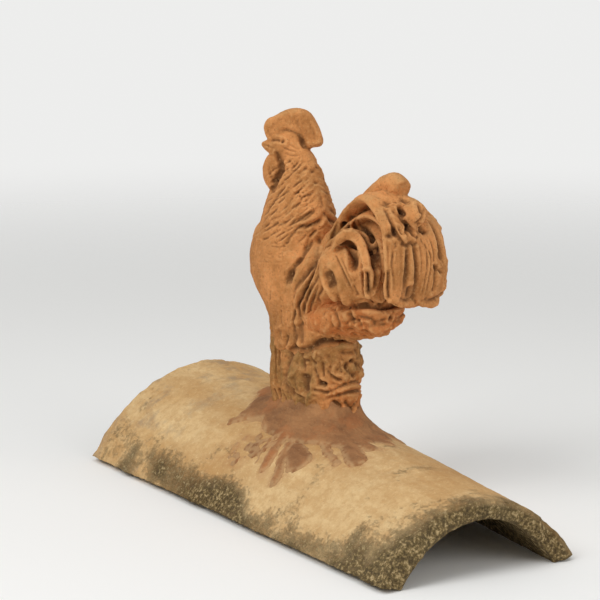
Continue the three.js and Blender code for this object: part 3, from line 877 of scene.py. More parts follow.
# a closed lump
def ball(centre, radii):
    turns, rings = 20, 12
    points, faces = [(0, 0, 1)], []
    for i in range(1, rings):
        polar = math.pi * i / rings
        for j in range(turns):
            turn = 2 * math.pi * j / turns
            out = math.sin(polar)
            points.append((out * math.cos(turn), out * math.sin(turn), math.cos(polar)))
    points.append((0, 0, -1))
    last = len(points) - 1

    def at(i, j):
        return 1 + (i - 1) * turns + j % turns

    for j in range(turns):
        faces.append((0, at(1, j), at(1, j + 1)))
        faces.append((last, at(rings - 1, j + 1), at(rings - 1, j)))
        faces += [(at(i, j), at(i + 1, j), at(i + 1, j + 1), at(i, j + 1)) for i in range(1, rings - 1)]
    return np.array(points) * radii + centre, faces


# an outline given a thickness across Y, with rounded edges
def slab(outline, halfCore, rounding, steps=5):
    rim = through(list(outline) + [outline[0]], len(outline) * 5)[:-1]
    ahead, behind = np.roll(rim, -1, 0), np.roll(rim, 1, 0)
    edge = unit(ahead - behind)
    outward = np.stack([edge[:, 1], -edge[:, 0]], 1)
    area = np.sum(rim[:, 0] * ahead[:, 1] - ahead[:, 0] * rim[:, 1])
    outward *= 1 if area > 0 else -1
    count, layers = len(rim), []
    for side in (-1, 1):
        turns = np.linspace(0, math.pi / 2, steps + 1)
        turns = turns[::-1] if side < 0 else turns
        for turn in turns:
            flat = rim - outward * rounding * (1 - math.cos(turn))
            depth = side * (halfCore + rounding * math.sin(turn))
            layers.append(np.stack([flat[:, 0], np.full(count, depth), flat[:, 1]], 1))
    points = np.vstack(layers)
    faces = []
    for k in range(len(layers) - 1):
        for j in range(count):
            n = (j + 1) % count
            faces.append((k * count + j, k * count + n, (k + 1) * count + n, (k + 1) * count + j))
    faces.append(tuple(range(count)))
    faces.append(tuple(range((len(layers) - 1) * count, len(layers) * count))[::-1])
    return points, faces


# one skin of clay over shells that overlap
def fused(name, shells, grain):
    points, faces, start = [], [], 0
    for shellPoints, shellFaces in shells:
        points.append(shellPoints)
        faces += [tuple(int(i) + start for i in face) for face in shellFaces]
        start += len(shellPoints)
    carrier = bpy.data.objects.new(name, meshFrom(name, np.vstack(points), faces))
    scene.collection.objects.link(carrier)
    modifier = carrier.modifiers.new("fuse", "REMESH")
    modifier.mode = "VOXEL"
    modifier.voxel_size = grain
    evaluated = carrier.evaluated_get(bpy.context.evaluated_depsgraph_get())
    mesh = bpy.data.meshes.new_from_object(evaluated)
    bpy.data.objects.remove(carrier)
    return outerSkin(mesh)


# drops shut-in pockets and loose crumbs: only the body with the most vertices is kept
def outerSkin(mesh):
    points, edges = arrays(mesh)
    label = np.arange(len(points))
    while True:
        low = np.minimum(label[edges[:, 0]], label[edges[:, 1]])
        fresh = label.copy()
        np.minimum.at(fresh, edges[:, 0], low)
        np.minimum.at(fresh, edges[:, 1], low)
        fresh = fresh[fresh]
        if (fresh == label).all():
            break
        label = fresh
    main = np.bincount(label).argmax()
    faces = np.zeros(len(mesh.loops), np.int32)
    mesh.loops.foreach_get("vertex_index", faces)
    faces = faces.reshape(-1, 4)
    faces = faces[label[faces[:, 0]] == main]
    used, packed = np.unique(faces, return_inverse=True)
    return meshFrom(mesh.name, points[used], packed.reshape(-1, 4).tolist())


# The near front quarter, from which the surface was cut: a is level and b is up, both in mm
quarter = {"turn": 60.6, "tip": 10.9}  # degrees round from -Y, and up
cutTurn, cutTip = math.radians(quarter["turn"]), math.radians(quarter["tip"])
cutToward = np.array([
    math.sin(cutTurn) * math.cos(cutTip),
    -math.cos(cutTurn) * math.cos(cutTip),
    math.sin(cutTip),
])
cutLevel = np.array([math.cos(cutTurn), math.sin(cutTurn), 0])
cutUp = np.cross(cutToward, cutLevel)


# how far each place moves out for a list of cuts: half width, depth (raised if negative) and a run of a, b,
# made again on the far side of a plane
def cutInto(points, normals, cuts, plane, farShare=0.8):
    shift = np.zeros(len(points))
    middle, axis = (np.array(v, float) for v in plane)
    for far in (False, True):
        turned, facing = points, normals
        if far:
            turned = points - 2 * ((points - middle) @ axis)[:, None] * axis
            facing = normals - 2 * (normals @ axis)[:, None] * axis
        spots = toWorld(turned)
        facing = toWorld(turned + facing) - spots
        a, b = spots @ cutLevel, spots @ cutUp
        facing = ease(facing @ cutToward, 0.05, 0.4) * (farShare if far else 1.0)
        for half, depth, *flat in cuts:
            path = np.array(flat, float).reshape(-1, 2)
            if len(path) > 2:
                path = through(path, len(path) * 4)
            elif len(path) == 1:
                path = np.vstack([path, path + 0.01])
            low, high = path.min(0) - 3 * half, path.max(0) + 3 * half
            near = (a > low[0]) & (a < high[0]) & (b > low[1]) & (b < high[1]) & (facing > 0)
            if not near.any():
                continue
            away, along = runDistance(a[near], b[near], path)
            fade = 1.0
            if len(flat) > 4:  # long cuts grow shallow at both ends
                swell = np.clip(np.sin(math.pi * np.clip(along, 0.02, 0.98)), 0, 1)
                fade = 0.35 + 0.65 * np.sqrt(swell)
            lip = 0.22 * np.exp(-(((away - 1.9 * half) / (0.8 * half)) ** 2))
            groove = np.exp(-((away / half) ** 2)) - lip
            shift[near] -= depth * fade * groove * facing[near]
    return shift


# a place on the cutting plane, standing out from it toward the near quarter, in the bird's frame
def fromQuarter(a, b, out):
    toward = np.array([math.sin(cutTurn), -math.cos(cutTurn), 0])
    height = (b + math.sin(cutTip) * out) / math.cos(cutTip)
    return toBird((a * cutLevel + out * toward + [0, 0, height])[None])[0]


bodyShape = {
    "grain": 0.94,
    "trunk": [
        (2, 0, 122, 42, 23), (1, 0, 134, 45, 26), (-3, 0, 147, 45, 29), (-7, 0, 162, 41, 31),
        (-13, 0, 178, 43, 34),
        (-22, 0, 198, 49, 36), (-24, 0, 212, 44, 34), (-22, 0, 226, 37, 30), (-21, 0, 242, 33, 27),
        (-21, 0, 259, 26, 23), (-22, 0, 274, 19, 17), (-26, -3, 288, 15, 13), (-29, -6, 298, 12, 11),
    ],
    "rump": [(-30, 0, 178, 30, 30), (4, 0, 184, 36, 32), (28, 0, 196, 28, 28), (48, 0, 210, 16, 19)],
    "headTurn": math.radians(225),
    "headAt": (-30, -8, 295),
    "skull": ((0, 0, -1), (15, 12, 13)),
    "eye": ((2, 10.6, 2), (2.9, 2.2, 2.9)),
    "comb": [
        (13, 3), (16, 8), (17.5, 15), (15, 21), (7, 25), (-2, 29), (-12, 30), (-20, 27), (-26, 19),
        (-31, 8),
        (-31, 1), (-25, -1.5), (-18, -2), (-12, 3), (0, 3),
    ],
    "combCore": 2.0,
    "combRound": 4.5,
    "beak": [(4, 0, -1.5, 9, 8), (11, 0, -1, 7, 5.6), (15.5, 0, -0.2, 4.4, 3.6), (19.8, 0, 0.8, 1.6, 1.6)],
    "wattle": [(9, 2, -8, 5, 4), (11.5, 4, -18, 7.2, 5), (11, 4.5, -27, 6.8, 5), (8, 3.5, -39, 3, 3)],
    "throat": [(2, 0, -8, 9, 8), (4, 0, -20, 9, 8), (2, 0, -38, 8, 8)],
}

# half width, depth (raised if negative), then a, b, a, b ...
hackleCuts = [
    (1.3, 0.9, -18, 276, -24, 271, -31, 265), (1.2, 0.8, -18, 269, -26, 265, -33, 261),
    (1.4, 1.1, -12, 259, -16, 255, -20, 251), (1.2, 0.9, -15, 246, -24, 240),
    (1.3, 0.9, -28, 252, -34, 247, -42, 241), (1.9, 2.2, -13, 241, -20, 238, -25, 235),
    (1.8, 2.3, -9, 234, -18, 230, -27, 229), (1.6, 1.9, -4, 240, 0, 235, 4, 229),
    (1.3, 1.0, -44, 233, -55, 230), (1.6, 1.7, -28, 226, -32, 222, -36, 217),
    (1.0, 0.7, -28, 282, -34, 277, -40, 272), (1.1, 1.2, -19, 278, -25, 273),
    (1.2, 0.9, -34, 258, -42, 248, -49, 239), (1.3, 1.0, -24, 249, -35, 241, -47, 235),
    (1.1, 0.8, -33, 268, -42, 256, -50, 246), (1.4, 1.1, -28, 241, -38, 233, -54, 227),
    (1.2, 0.8, -10, 266, -16, 261), (1.2, 0.9, -12, 252, -18, 247, -22, 245),
    (0.9, 0.8, -29, 257, -22, 257), (0.9, 0.8, -28, 253, -21, 254), (1.0, 0.8, -27, 260, -23, 251),
    (1.2, 0.8, -22, 283, -28, 279, -36, 268), (1.0, 0.6, -36, 279, -41, 272, -44, 266),
    (1.5, 1.0, -8, 282, -12, 276, -17, 272), (1.2, 0.6, -4, 268, -2, 258, 0, 247),
    (1.2, 0.6, -8, 262, -7, 252, -5, 244), (1.3, 0.8, -48, 262, -54, 250),
    (1.2, 0.8, -38, 262, -46, 252, -53, 241),
    (1.4, 1.0, -17, 236, -30, 233, -42, 230), (1.2, 0.8, -20, 225, -27, 224, -31, 228),
]

wingCuts = [
    (1.7, 1.9, -15, 216, -22, 206, -30, 195, -34, 187), (3.2, 3.0, -32, 190, -33, 185),
    (2.2, 2.4, -8, 218, -12, 206, -13, 200, -19, 192, -24, 185, -29, 179, -31, 173),
    (1.3, 1.6, -31, 173, -30, 166, -29, 161, -26, 153),
    (1.5, 1.9, -12, 200, -15, 189, -21, 179, -25, 169, -25, 160, -23, 151),
    (1.4, 1.8, -8, 197, -12, 185, -17, 176, -21, 165, -22, 157),
    (1.4, 1.8, -7, 192, -10, 181, -13, 172, -16, 165, -16, 155),
    (1.4, 1.9, -4, 185, -7, 177, -10, 171, -8, 167), (2.0, 3.2, -15, 157, -14, 147),
    (1.3, -1.4, -30, 180, -31, 172, -28, 160, -26, 154),
    (1.5, -1.3, -16, 192, -21, 183, -27, 172, -27, 160),
    (1.5, -1.4, -11, 193, -15, 184, -20, 174, -23, 163),
    (1.4, -1.3, -8, 186, -12, 178, -17, 168, -19, 157),
    (2.4, -1.6, -10, 214, -17, 203, -25, 192, -31, 182), (1.3, 1.0, -22, 204, -26, 200),
    (1.2, 1.0, -12, 226, -17, 219, -20, 212), (1.3, 0.8, -4, 223, -5, 212, -8, 203),
    (1.2, 0.9, -27, 167, -25, 156, -21, 149), (1.1, 0.8, -19, 158, -18, 150),
    (1.6, 1.6, -4, 205, -6, 196, -5, 190),
]

breastCuts = [
    (1.3, 0.8, -45, 159, -44, 154, -43, 149), (1.2, 0.6, -51, 158, -50, 148, -47, 138),
    (2.2, 2.0, -47, 136, -45, 131), (1.2, 0.7, -40, 160, -41, 150),
    (1.0, 0.9, -40, 213, -36, 215, -33, 218),
]

headCuts = [
    (1.4, 1.7, -48.5, 300, -43.5, 300.8, -40, 299.4), (1.3, 2.2, -38.3, 299.4),
    (1.5, -1.1, -35.2, 299.5, -36, 296.5),
    (1.6, -1.0, -45, 303.5, -39, 303.5, -35, 301.5), (0.8, 0.9, -56, 298.2, -50, 295.6, -45, 293.8),
    (2.0, 2.6, -42.4, 289.6, -39.9, 278.1, -44, 267.5, -47.3, 259.3), (1.2, 1.4, -44.5, 290, -42.5, 284),
    (1.6, 1.3, -41, 308.5, -34, 308.5, -28, 306, -24.5, 302, -21, 295),
    (2.2, 1.6, -24, 303, -21.5, 297, -19, 294),
    (2.6, 1.2, -27, 318, -25, 309, -22, 301), (1.6, 1.1, -51, 311, -50, 305, -46.5, 302.5),
    (1.0, 0.7, -47, 322, -46, 314, -48, 307),
    (1.0, 0.8, -38, 294, -33, 292, -28, 291), (1.1, 0.9, -36, 289, -30, 287.5, -25, 288),
    (1.0, 0.8, -33, 297, -28, 294, -24, 293),
    (0.9, 0.5, -34, 321, -32, 314), (1.2, 0.7, -18, 316, -14, 308, -12, 300),
    (1.0, -0.8, -38, 283, -34, 279, -33, 274),
    (1.2, 1.0, -50, 280, -49, 272, -46, 266), (0.9, 0.7, -35, 284, -31, 281, -29, 277),
    (2.5, -1.2, -8, 302, -11, 298, -19, 297),
]

tailShape = {
    "grain": 0.98,
    "web": [(20, 0, 196, 28, 16), (48, 1, 209, 31, 14), (78, 3, 216, 37, 13), (104, 6, 208, 30, 12)],
    "under": [(8, 0, 156, 20, 24), (40, 0, 160, 17, 24), (68, 0, 166, 17, 22), (97, 0, 170, 12, 16)],
    "flank": [(38, -17, 198, 11, 8), (50, -23, 200, 20, 10), (58, -23, 202, 22, 11),
      (75, -17, 200, 21, 11), (90, -6, 196, 19, 10)],
    "sickles": [
        {"root": (18, 0, 206), "yaw": -3, "reach": 98, "crest": 58, "drop": 24, "width": 36,
         "thickness": 9, "endAt": 0.9},
        {"root": (18, 6, 203), "yaw": 7, "reach": 95, "crest": 47, "drop": 26, "width": 62,
         "thickness": 10, "endAt": 0.94},
        {"root": (18, 6, 206), "yaw": 11, "reach": 100, "crest": 42, "drop": 30, "width": 30,
         "thickness": 10, "endAt": 0.93},
        {"root": (14, 10, 200), "yaw": 24, "reach": 86, "crest": 39, "drop": 12, "width": 27,
         "roll": -15},
        {"root": (10, 12, 196), "yaw": 38, "reach": 66, "crest": 34, "drop": 10, "width": 24,
         "roll": -25},
        {"root": (14, -8, 200), "yaw": -9, "reach": 84, "crest": 34, "drop": 14, "width": 15},
    ],
    "curls": [
        {"root": (22, 13, 204), "yaw": -1, "reach": 73, "crest": 67, "fall": 4, "width": 20,
         "thickness": 21},
        {"root": (24, 8, 210), "yaw": 5, "reach": 88, "crest": 46, "fall": 9, "width": 24,
         "thickness": 17},
    ],
    "knob": ((112, 8, 252), (9, 10, 10.5)),  # the thick end of a feather
    # laid over the near side, and again on the far side: a, b and how far out, then width and thickness
    "strands": [
        ([(1, 208, 44), (5, 216, 47), (12, 221, 50), (20, 220, 53), (26, 214, 55), (29.5, 204, 56),
          (29, 193, 55), (26, 182, 53)], 7, 9),
        ([(0, 200, 44), (5.5, 189, 48), (11, 177, 50), (14.5, 165, 49)], 10, 8),
        ([(-6, 206, 38), (-6, 190, 41), (-1, 176, 45), (5, 168, 47)], 6, 6),
        ([(19, 199, 50), (20.5, 186, 52), (22.5, 172, 51)], 9, 9),
        ([(35.5, 190, 54), (37, 178, 55), (38.5, 167, 54)], 11, 9),
        ([(36, 217, 58), (39.5, 200, 61), (41, 182, 62)], 6, 8),
        ([(8, 208, 46), (10, 200, 48), (9, 192, 48)], 8, 6),
    ],
    # one finger that lies on top of the straps, made once
    "finger": ([(40, 242, 60), (46, 233, 67), (52, 223, 74), (57.5, 213, 77)], 8, 8),
    "ribs": 11.0,
    "ribDepth": 0.35,
}

tailCuts = [
    # the broad strap
    (0.8, 0.7, 35, 239, 37, 231, 38, 226),
    (0.8, 0.9, 46, 232, 48.5, 224, 50, 214, 48, 204, 46.5, 196, 48, 188),
    (0.7, 0.6, 50, 214, 50.5, 202, 51, 190), (0.8, 0.8, 58, 210, 59, 198, 56, 184, 55, 174),
    (0.7, 0.6, 43, 215, 44, 200, 45, 186),
    # either side of the finger
    (1.4, 2.6, 42, 239, 47, 229, 51, 219, 56, 212.5), (1.5, 3.2, 49, 238, 56, 231, 62, 223, 66, 219),
    (1.2, 1.6, 55, 212, 60, 212, 63, 216),
    # the dark line between the straps
    (1.6, 3.4, 64, 214, 66.5, 200, 66.5, 185, 65, 170), (2.6, 2.2, 61, 178, 62, 170),
    (1.2, 1.2, 55, 170, 60, 168, 66, 168),
    # fine lines down the outer straps
    (0.7, 1.0, 72, 222, 75, 209, 75.5, 195, 73, 180, 71, 170),
    (0.7, 1.0, 75, 219, 78, 207, 78.5, 194, 76, 180, 74, 171),
    (0.7, 0.9, 79, 215, 81, 203, 80.5, 190, 78, 178), (0.8, 1.1, 83, 206, 84, 197, 82, 188),
    (1.3, 2.0, 82, 196, 87, 191),
    (0.7, 0.7, 69, 214, 70.5, 200, 70, 186, 68, 174), (0.8, 0.8, 79, 178, 75, 169),
    # under the top feathers
    (0.8, 0.8, 43, 244, 48, 246, 55, 244), (0.8, 0.9, 42, 241.5, 48, 243, 54, 241),
    (2.0, 4.0, 53.5, 240, 55.5, 236), (1.8, 2.4, 56, 248, 60, 246), (2.2, 3.4, 69, 227, 73, 223),
    (1.2, 1.4, 60, 226, 66, 223, 74, 224),
    # the near side: slots, holes and blocks
    (3.0, 9.0, 26, 224, 31, 216, 34.5, 205, 35.5, 196), (2.8, 7.5, 16, 211, 18, 203, 18, 195),
    (2.4, 6.5, 28, 189, 29, 176),
    (2.0, 4.6, 11, 230, 13, 227), (1.0, 1.6, 4, 204, 9, 193, 14, 182, 18, 175),
    (0.9, 1.2, 8.5, 201, 12, 193, 16, 184),
    (3.2, 3.4, -1.5, 190, 1, 182), (1.5, 1.6, 5, 231, 2, 221, -2, 210),
    (2.4, 1.8, 16, 236, 20, 226, 21, 220), (1.1, 1.2, 22, 232, 27, 222),
    (1.1, 1.4, 35, 212, 39, 202, 40, 190), (1.2, 1.4, 18, 180, 21, 174),
    (1.0, 1.2, 35, 168, 40, 166, 44, 170), (1.6, 2.6, 44, 190, 44.5, 172),
    (1.2, 1.6, 20, 168, 27, 170, 34, 168), (1.0, 1.0, 24, 197, 25, 187),
    # ledges torn under the tail
    (2.2, 3.0, 16, 163, 28, 165, 40, 163, 50, 165), (1.8, 2.6, 22, 156, 30, 155, 36, 152, 48, 155),
    (1.6, 2.2, 4, 161, 8, 152, 6, 146),
    (1.8, 2.4, 30, 149, 38, 149, 46, 150), (1.4, 2.0, 12, 150, 18, 154, 24, 148),
    (2.0, -1.8, 26, 160, 34, 159, 42, 159),
    (1.6, 2.4, 16, 158, 18, 151), (1.2, -1.4, 18, 163, 18.5, 152), (1.6, 1.8, 50, 160, 48, 153),
]

groundShape = {
    "grain": 0.85,
    "mound": [(4, 0, 46, 46, 24), (4, 0, 88, 45, 24), (4, 0, 117, 45, 24), (4, 0, 140, 43, 24)],
    "leg": [(-26, 12, 150, 13, 11), (-30, 14, 128, 8, 8), (-32, 15, 106, 6.5, 6.5), (-31, 15, 86, 7, 7)],
    "foot": ((-29, -14, 87), (9, 7.5, 12)),
    "tufts": 34,
}

groundCuts = [
    # the crevice under the body, then the grooves beside the leg
    (3.4, 4.2, -32, 128, -22, 129, -14, 131, -6, 135, 6, 138, 18, 140, 28, 139),
    (2.0, 2.6, -12, 134, -2, 141, 8, 144),
    (2.4, 3.6, -29, 147, -29, 132, -33, 122, -36, 108), (2.0, 2.6, -37, 106, -33, 96, -29, 91),
    (2.6, 3.0, -24, 148, -23, 136),
    # holes and worm-like crumbs
    (1.9, 4.6, -7.5, 101.5, -4, 101), (2.8, 3.8, -20, 107, -18, 96),
    (1.5, 2.0, -5, 93, 12, 100, 23, 104), (1.4, 1.8, 0, 90, 12, 93, 23, 96),
    (2.0, 2.6, 3, 86, 8, 83), (1.8, 2.4, 13, 85, 18, 80), (1.5, 3.2, -47, 80, -41, 77, -31, 81),
    (0.8, 0.9, -44, 140, -44.5, 122, -44, 104),
    (0.8, 0.9, -41, 136, -41.5, 118, -41, 104), (1.2, -1.5, -19, 123, -14, 125, -11, 121),
    (1.1, -1.4, -20, 117, -15, 119, -12, 116),
    (1.2, 1.6, -20, 120.5, -12, 118), (1.5, -1.6, -10, 128, -4, 124, 0, 117),
    (1.6, -1.6, 6, 125, 14, 122, 22, 126),
    (1.5, 2.2, 13, 117, 16, 110, 20, 106), (1.5, -1.8, 2, 110, 10, 108, 14, 102),
    (1.3, -1.6, -26, 114, -30, 106, -28, 98),
    (1.5, 2.2, -12, 112, -9, 104), (0.9, 1.4, -46, 94, -43, 86), (0.9, 1.4, -42, 95, -40, 87),
    (0.9, 1.4, -38, 94, -36, 86),
    (0.9, 1.3, -34, 93, -32, 86), (1.2, 2.0, -30, 96, -25, 90), (1.2, -1.5, -27, 94, -21, 91),
    (1.3, 2.0, -2, 112, 4, 106, 9, 104),
    (1.4, 2.0, 18, 120, 24, 116), (1.6, -1.8, 20, 113, 26, 108), (1.4, 1.8, -12, 96, -2, 94),
    (2.2, -1.4, 16, 101, 26, 99),
    (1.5, 2.2, -24, 126, -20, 112), (1.2, 1.6, -15, 130, -13, 118), (1.0, 1.3, -6, 118, -5, 108),
    (1.1, 1.4, 8, 118, 9, 111),
]

clayLook = {
    # painted shade in hollows and grooves, also the dark specks of the grain
    "shadeAndSpeck": (0.21, 0.085, 0.026, 1),
    "terracotta": (0.74, 0.315, 0.105, 1),
    "brown": (0.46, 0.19, 0.055, 1),
    # wear, and painted highlight on raised places
    "worn": (0.76, 0.38, 0.145, 1),
    # dust, and painted light from above on up-facing faces; also the pale specks of the grain
    "dust": (0.62, 0.355, 0.145, 1),
    "red": (0.54, 0.165, 0.04, 1),
    # olive tint of dirt, also painted shade in broad recesses and low down
    "oliveAndShade": (0.20, 0.125, 0.035, 1),
    # painted shade deep in pits and slots, near black
    "deepShade": (0.045, 0.014, 0.004, 1),
}


def firedClay():
    material, tree, shader = newMaterial("firedClay")
    tones = {"Dark": clayLook["brown"], "Light": clayLook["terracotta"]}
    base = filled(tree, toneDrift, {**tones, "Size": 0.022, "Stretch": (1, 1, 0.7), "Contrast": 1.5})
    colour = base["Color"]
    mottle = spread(tree, noise(tree, place(tree), 0.0045, 5.0, 0.7), 0.36, 0.64)
    colour = laid(tree, mottle, 0.32, colour, clayLook["brown"])
    # dust and painted light from above: faces that look up are made lighter
    facing = add(tree, "ShaderNodeNewGeometry").outputs["Normal"]
    height = add(tree, "ShaderNodeSeparateXYZ", {0: facing}).outputs["Z"]
    upwardDustAndLight = spread(tree, height, 0.1, 0.95)
    patch = spread(tree, noise(tree, place(tree), 0.018, 5.0), 0.4, 0.66)
    colour = laid(tree, times(tree, upwardDustAndLight, patch), 0.6, colour, clayLook["dust"])
    colour = laid(tree, named(tree, "redClay"), 0.85, colour, clayLook["red"])
    # wear and painted highlight: raised places lighter
    colour = laid(tree, named(tree, "worn"), 0.6, colour, clayLook["worn"])
    # olive tint of dirt with painted shade in broad recesses
    oliveShare = plus(tree, times(tree, driftMask(tree, 0.014, (1, 1, 1), 1.3), 0.55), 0.3)
    colour = laid(tree, named(tree, "oliveAndShade"), oliveShare, colour, clayLook["oliveAndShade"])
    # painted shade in hollows and grooves
    colour = mixed(tree, named(tree, "hollowShade"), colour, clayLook["shadeAndSpeck"])
    # painted shade: near black in the deepest hollows and slots
    colour = mixed(tree, named(tree, "deep"), colour, clayLook["deepShade"])
    grain = filled(tree, clayGrain, {"Size": 0.0022})
    speck = spread(tree, grain["Grain"], 0.55, 0.68)
    colour = laid(tree, speck, 0.5, colour, clayLook["dust"])
    speck = spread(tree, grain["Grain"], 0.44, 0.33)
    colour = laid(tree, speck, 0.55, colour, clayLook["shadeAndSpeck"])
    uneven = noise(tree, place(tree), 0.006, 3.0)
    finishSurface(tree, shader, colour, 0.85, [(uneven, 0.002), (grain["Height"], 0.0009)])
    return material


def headShells():
    c, s = math.cos(bodyShape["headTurn"]), math.sin(bodyShape["headTurn"])

    def placed(points):
        x, y, z = points[:, 0], points[:, 1], points[:, 2]
        return np.stack([c * x - s * y, s * x + c * y, z], 1) + bodyShape["headAt"]

    comb = slab(bodyShape["comb"], bodyShape["combCore"], bodyShape["combRound"])
    shells = [ball(*bodyShape["skull"]), comb]
    runs = [bodyRun(bodyShape["beak"], 30, 0.05), bodyRun(bodyShape["throat"], 30)]
    for side in (-1, 1):
        (eyeX, eyeY, eyeZ), eyeRadii = bodyShape["eye"]
        shells.append(ball((eyeX, side * eyeY, eyeZ), eyeRadii))
        runs.append(bodyRun(onSide(bodyShape["wattle"], side), 40))
    shells.append(sweptRuns(runs, 20))
    return [(placed(np.asarray(points)), faces) for points, faces in shells]


# how far each place lies under its surroundings, fine and broad, in mm
def hollows(points, edges, normals):
    fine = ((relaxed(points, edges, 5) - points) * normals).sum(1)
    broad = ((relaxed(points, edges, 40) - points) * normals).sum(1)
    return relaxed(fine, edges, 1)[:, 0], relaxed(broad, edges, 2)[:, 0]


# height, size and seed of the lumps all over the clay, and of the clods on rough places
clayLumps = [(0.5, 17, 31), (0.34, 7.5, 32), (0.26, 3.6, 33), (0.13, 2.1, 41)]
clayClods = [(1.9, 11, 34), (1.4, 5.5, 35), (0.7, 2.8, 36)]


# smooths the fused skin, works it over by hand, and marks painted shade in hollows and slots, wear with
# painted highlight on raised places, red clay, and an olive tint of dirt with painted shade in broad
# recesses
def finishClay(name, mesh, cuts, roughness):
    points, edges = arrays(mesh)
    points = relaxed(points, edges, 3)
    putPoints(mesh, points)
    normals = normalsOf(mesh)
    headAcross = (-math.sin(bodyShape["headTurn"]), math.cos(bodyShape["headTurn"]), 0)
    carved = cutInto(points, normals, cuts, ((0, 0, 0), (0, 1, 0)))
    if name == "cockerelBody":
        carved += cutInto(points, normals, headCuts, (bodyShape["headAt"], headAcross))
    rough = roughness(points)
    shift = layered(points, clayLumps, carved)
    ridged = 0.5 - np.abs(lumps(points * [1, 1, 0.6], 6.5, 39))
    shift += rough * (layered(points, clayClods) + 2.2 * ridged)
    points = points + normals * shift[:, None]
    points = relaxed(points, edges, 1, 0.35)
    putPoints(mesh, points)
    normals = normalsOf(mesh)
    fine, broad = hollows(points, edges, normals)
    x, z = points[:, 0], points[:, 2]
    # painted shade: hollows and cut grooves darkened
    hollowShade = 0.8 * ease(fine, 0.03, 0.36) + 0.5 * ease(broad, 0.4, 2.0) + 0.5 * ease(-carved, 0.5, 1.6)
    hollowShade = np.clip(hollowShade, 0, 0.92)
    # painted shade: the deepest hollows and slots made near black
    deep = np.clip(ease(fine, 0.4, 1.1) + ease(broad, 1.8, 4.4) + 0.5 * ease(-carved, 1.8, 4), 0, 0.88)
    # wear and painted highlight: raised places made lighter
    worn = np.clip(ease(-fine, 0.04, 0.4) + 0.4 * ease(-broad, 0.6, 2.5), 0, 1)
    # bare red clay under the tail and at the foot of the clump's tail end
    underTail = ease(x, 8, 30) * ease(z, 146, 152) * (1 - ease(z, 174, 182))
    red = underTail + 0.6 * ease(x, 20, 42) * (1 - ease(z, 100, 122))
    red = np.clip(red * (0.8 + 0.5 * lumps(points, 9, 37)), 0, 1)
    # olive tint of dirt and lichen, with painted shade in broad recesses, more low down
    low = 1 - ease(z, 128, 172)
    tailRoot = ease(x, -6, 18) * (1 - ease(x, 60, 90)) * ease(z, 160, 180) * (1 - ease(z, 226, 246))
    patches = 0.6 * low * ease(lumps(points, 14, 38), -0.2, 0.6) * (1 - red)
    oliveAndShade = ease(broad, 0.1, 1.6) * (0.5 + low) + patches
    tailEnd = ease(x, 16, 44) * (1 - ease(z, 104, 124))
    oliveAndShade = oliveAndShade + 0.75 * (name == "cockerelGround") * (1 - 0.6 * red) * (1 - tailEnd)
    oliveAndShade = np.clip(oliveAndShade + 0.5 * tailRoot * ease(lumps(points, 13, 40), -0.2, 0.5), 0, 1)
    points = toWorld(points)
    points[:, 2] = np.maximum(points[:, 2], tileTop(points[:, 0], points[:, 1]) - 1.5)
    putPoints(mesh, points * metre)
    marks = {"hollowShade": hollowShade, "deep": deep, "worn": worn, "redClay": red, "oliveAndShade": oliveAndShade}
    for label, values in marks.items():
        putValues(mesh, label, values)
    return finishedPiece(name, mesh, claySkin, "cockerel")


def finerCuts(seed):
    rng = np.random.default_rng(seed)
    cuts = []
    for row in range(11):  # breast scales
        b = 220 - 3.1 * row + rng.uniform(-0.6, 0.6)
        a = -61 + rng.uniform(0, 4)
        while a < -33:
            length = rng.uniform(3, 9)
            if rng.random() < 0.72:
                depth = rng.uniform(0.35, 0.85) * (1 if row < 7 else 0.5)
                lift = rng.uniform(-1.2, 1.2)
                half, dip = rng.uniform(0.6, 0.9), rng.uniform(0.3, 1.5)
                cuts.append((half, depth, a, b, a + length / 2, b - dip, a + length, b + lift))
            a += length + rng.uniform(0, 2)
    for _ in range(40):  # belly hairs
        a, b = rng.uniform(-60, -34), rng.uniform(136, 194)
        cuts.append((0.8, rng.uniform(0.25, 0.55), a, b, a + rng.uniform(-1, 1), b - rng.uniform(6, 14)))
    for _ in range(110):  # hackles
        b = rng.uniform(224, 286)
        left, right = -58 + (b - 224) * 0.3, -2 - (b - 224) * 0.28
        a = rng.uniform(left, right)
        length = rng.uniform(7, 18)
        turn = math.radians(rng.uniform(208, 228))
        sag = rng.uniform(-0.8, 0.8)
        run = []
        for t in (0, 0.5, 1):
            run.append(a + length * t * math.cos(turn))
            run.append(b + length * t * math.sin(turn) + sag * math.sin(math.pi * t))
        cuts.append((rng.uniform(0.6, 1.0), rng.uniform(0.35, 0.95), *run))
    for _ in range(26):  # strands of the wing
        t = rng.uniform(0, 1)
        a, b = -4 - 14 * t, 214 - 20 * t + rng.uniform(-12, 4)
        depth, low = rng.uniform(0.4, 1.0), b - 28 + rng.uniform(-3, 3)
        cuts.append((0.8, depth, a, b, a - 6, b - 14, a - 12, low, a - 12, b - 40))
    return cuts


def buildBody():
    runs = [bodyRun(bodyShape["trunk"], 90, 0.06), bodyRun(bodyShape["rump"], 50)]
    shells = [sweptRuns(runs, 64), *headShells()]
    thighs = [bodyRun(onSide(groundShape["leg"][:2], side, 4), 30) for side in (-1, 1)]
    shells.append(sweptRuns(thighs, 24))
    mesh = fused("cockerelBody", shells, bodyShape["grain"])
    cuts = hackleCuts + wingCuts + breastCuts + groundCuts[:5] + finerCuts(4)

    def roughness(points):
        x, z = points[:, 0], points[:, 2]
        belly = 0.8 * (1 - ease(z, 134, 166)) * ease(x, -44, -24)
        return belly + 0.16 * (1 - ease(z, 180, 230)) + 0.06

    return finishClay("cockerelBody", mesh, cuts, roughness)


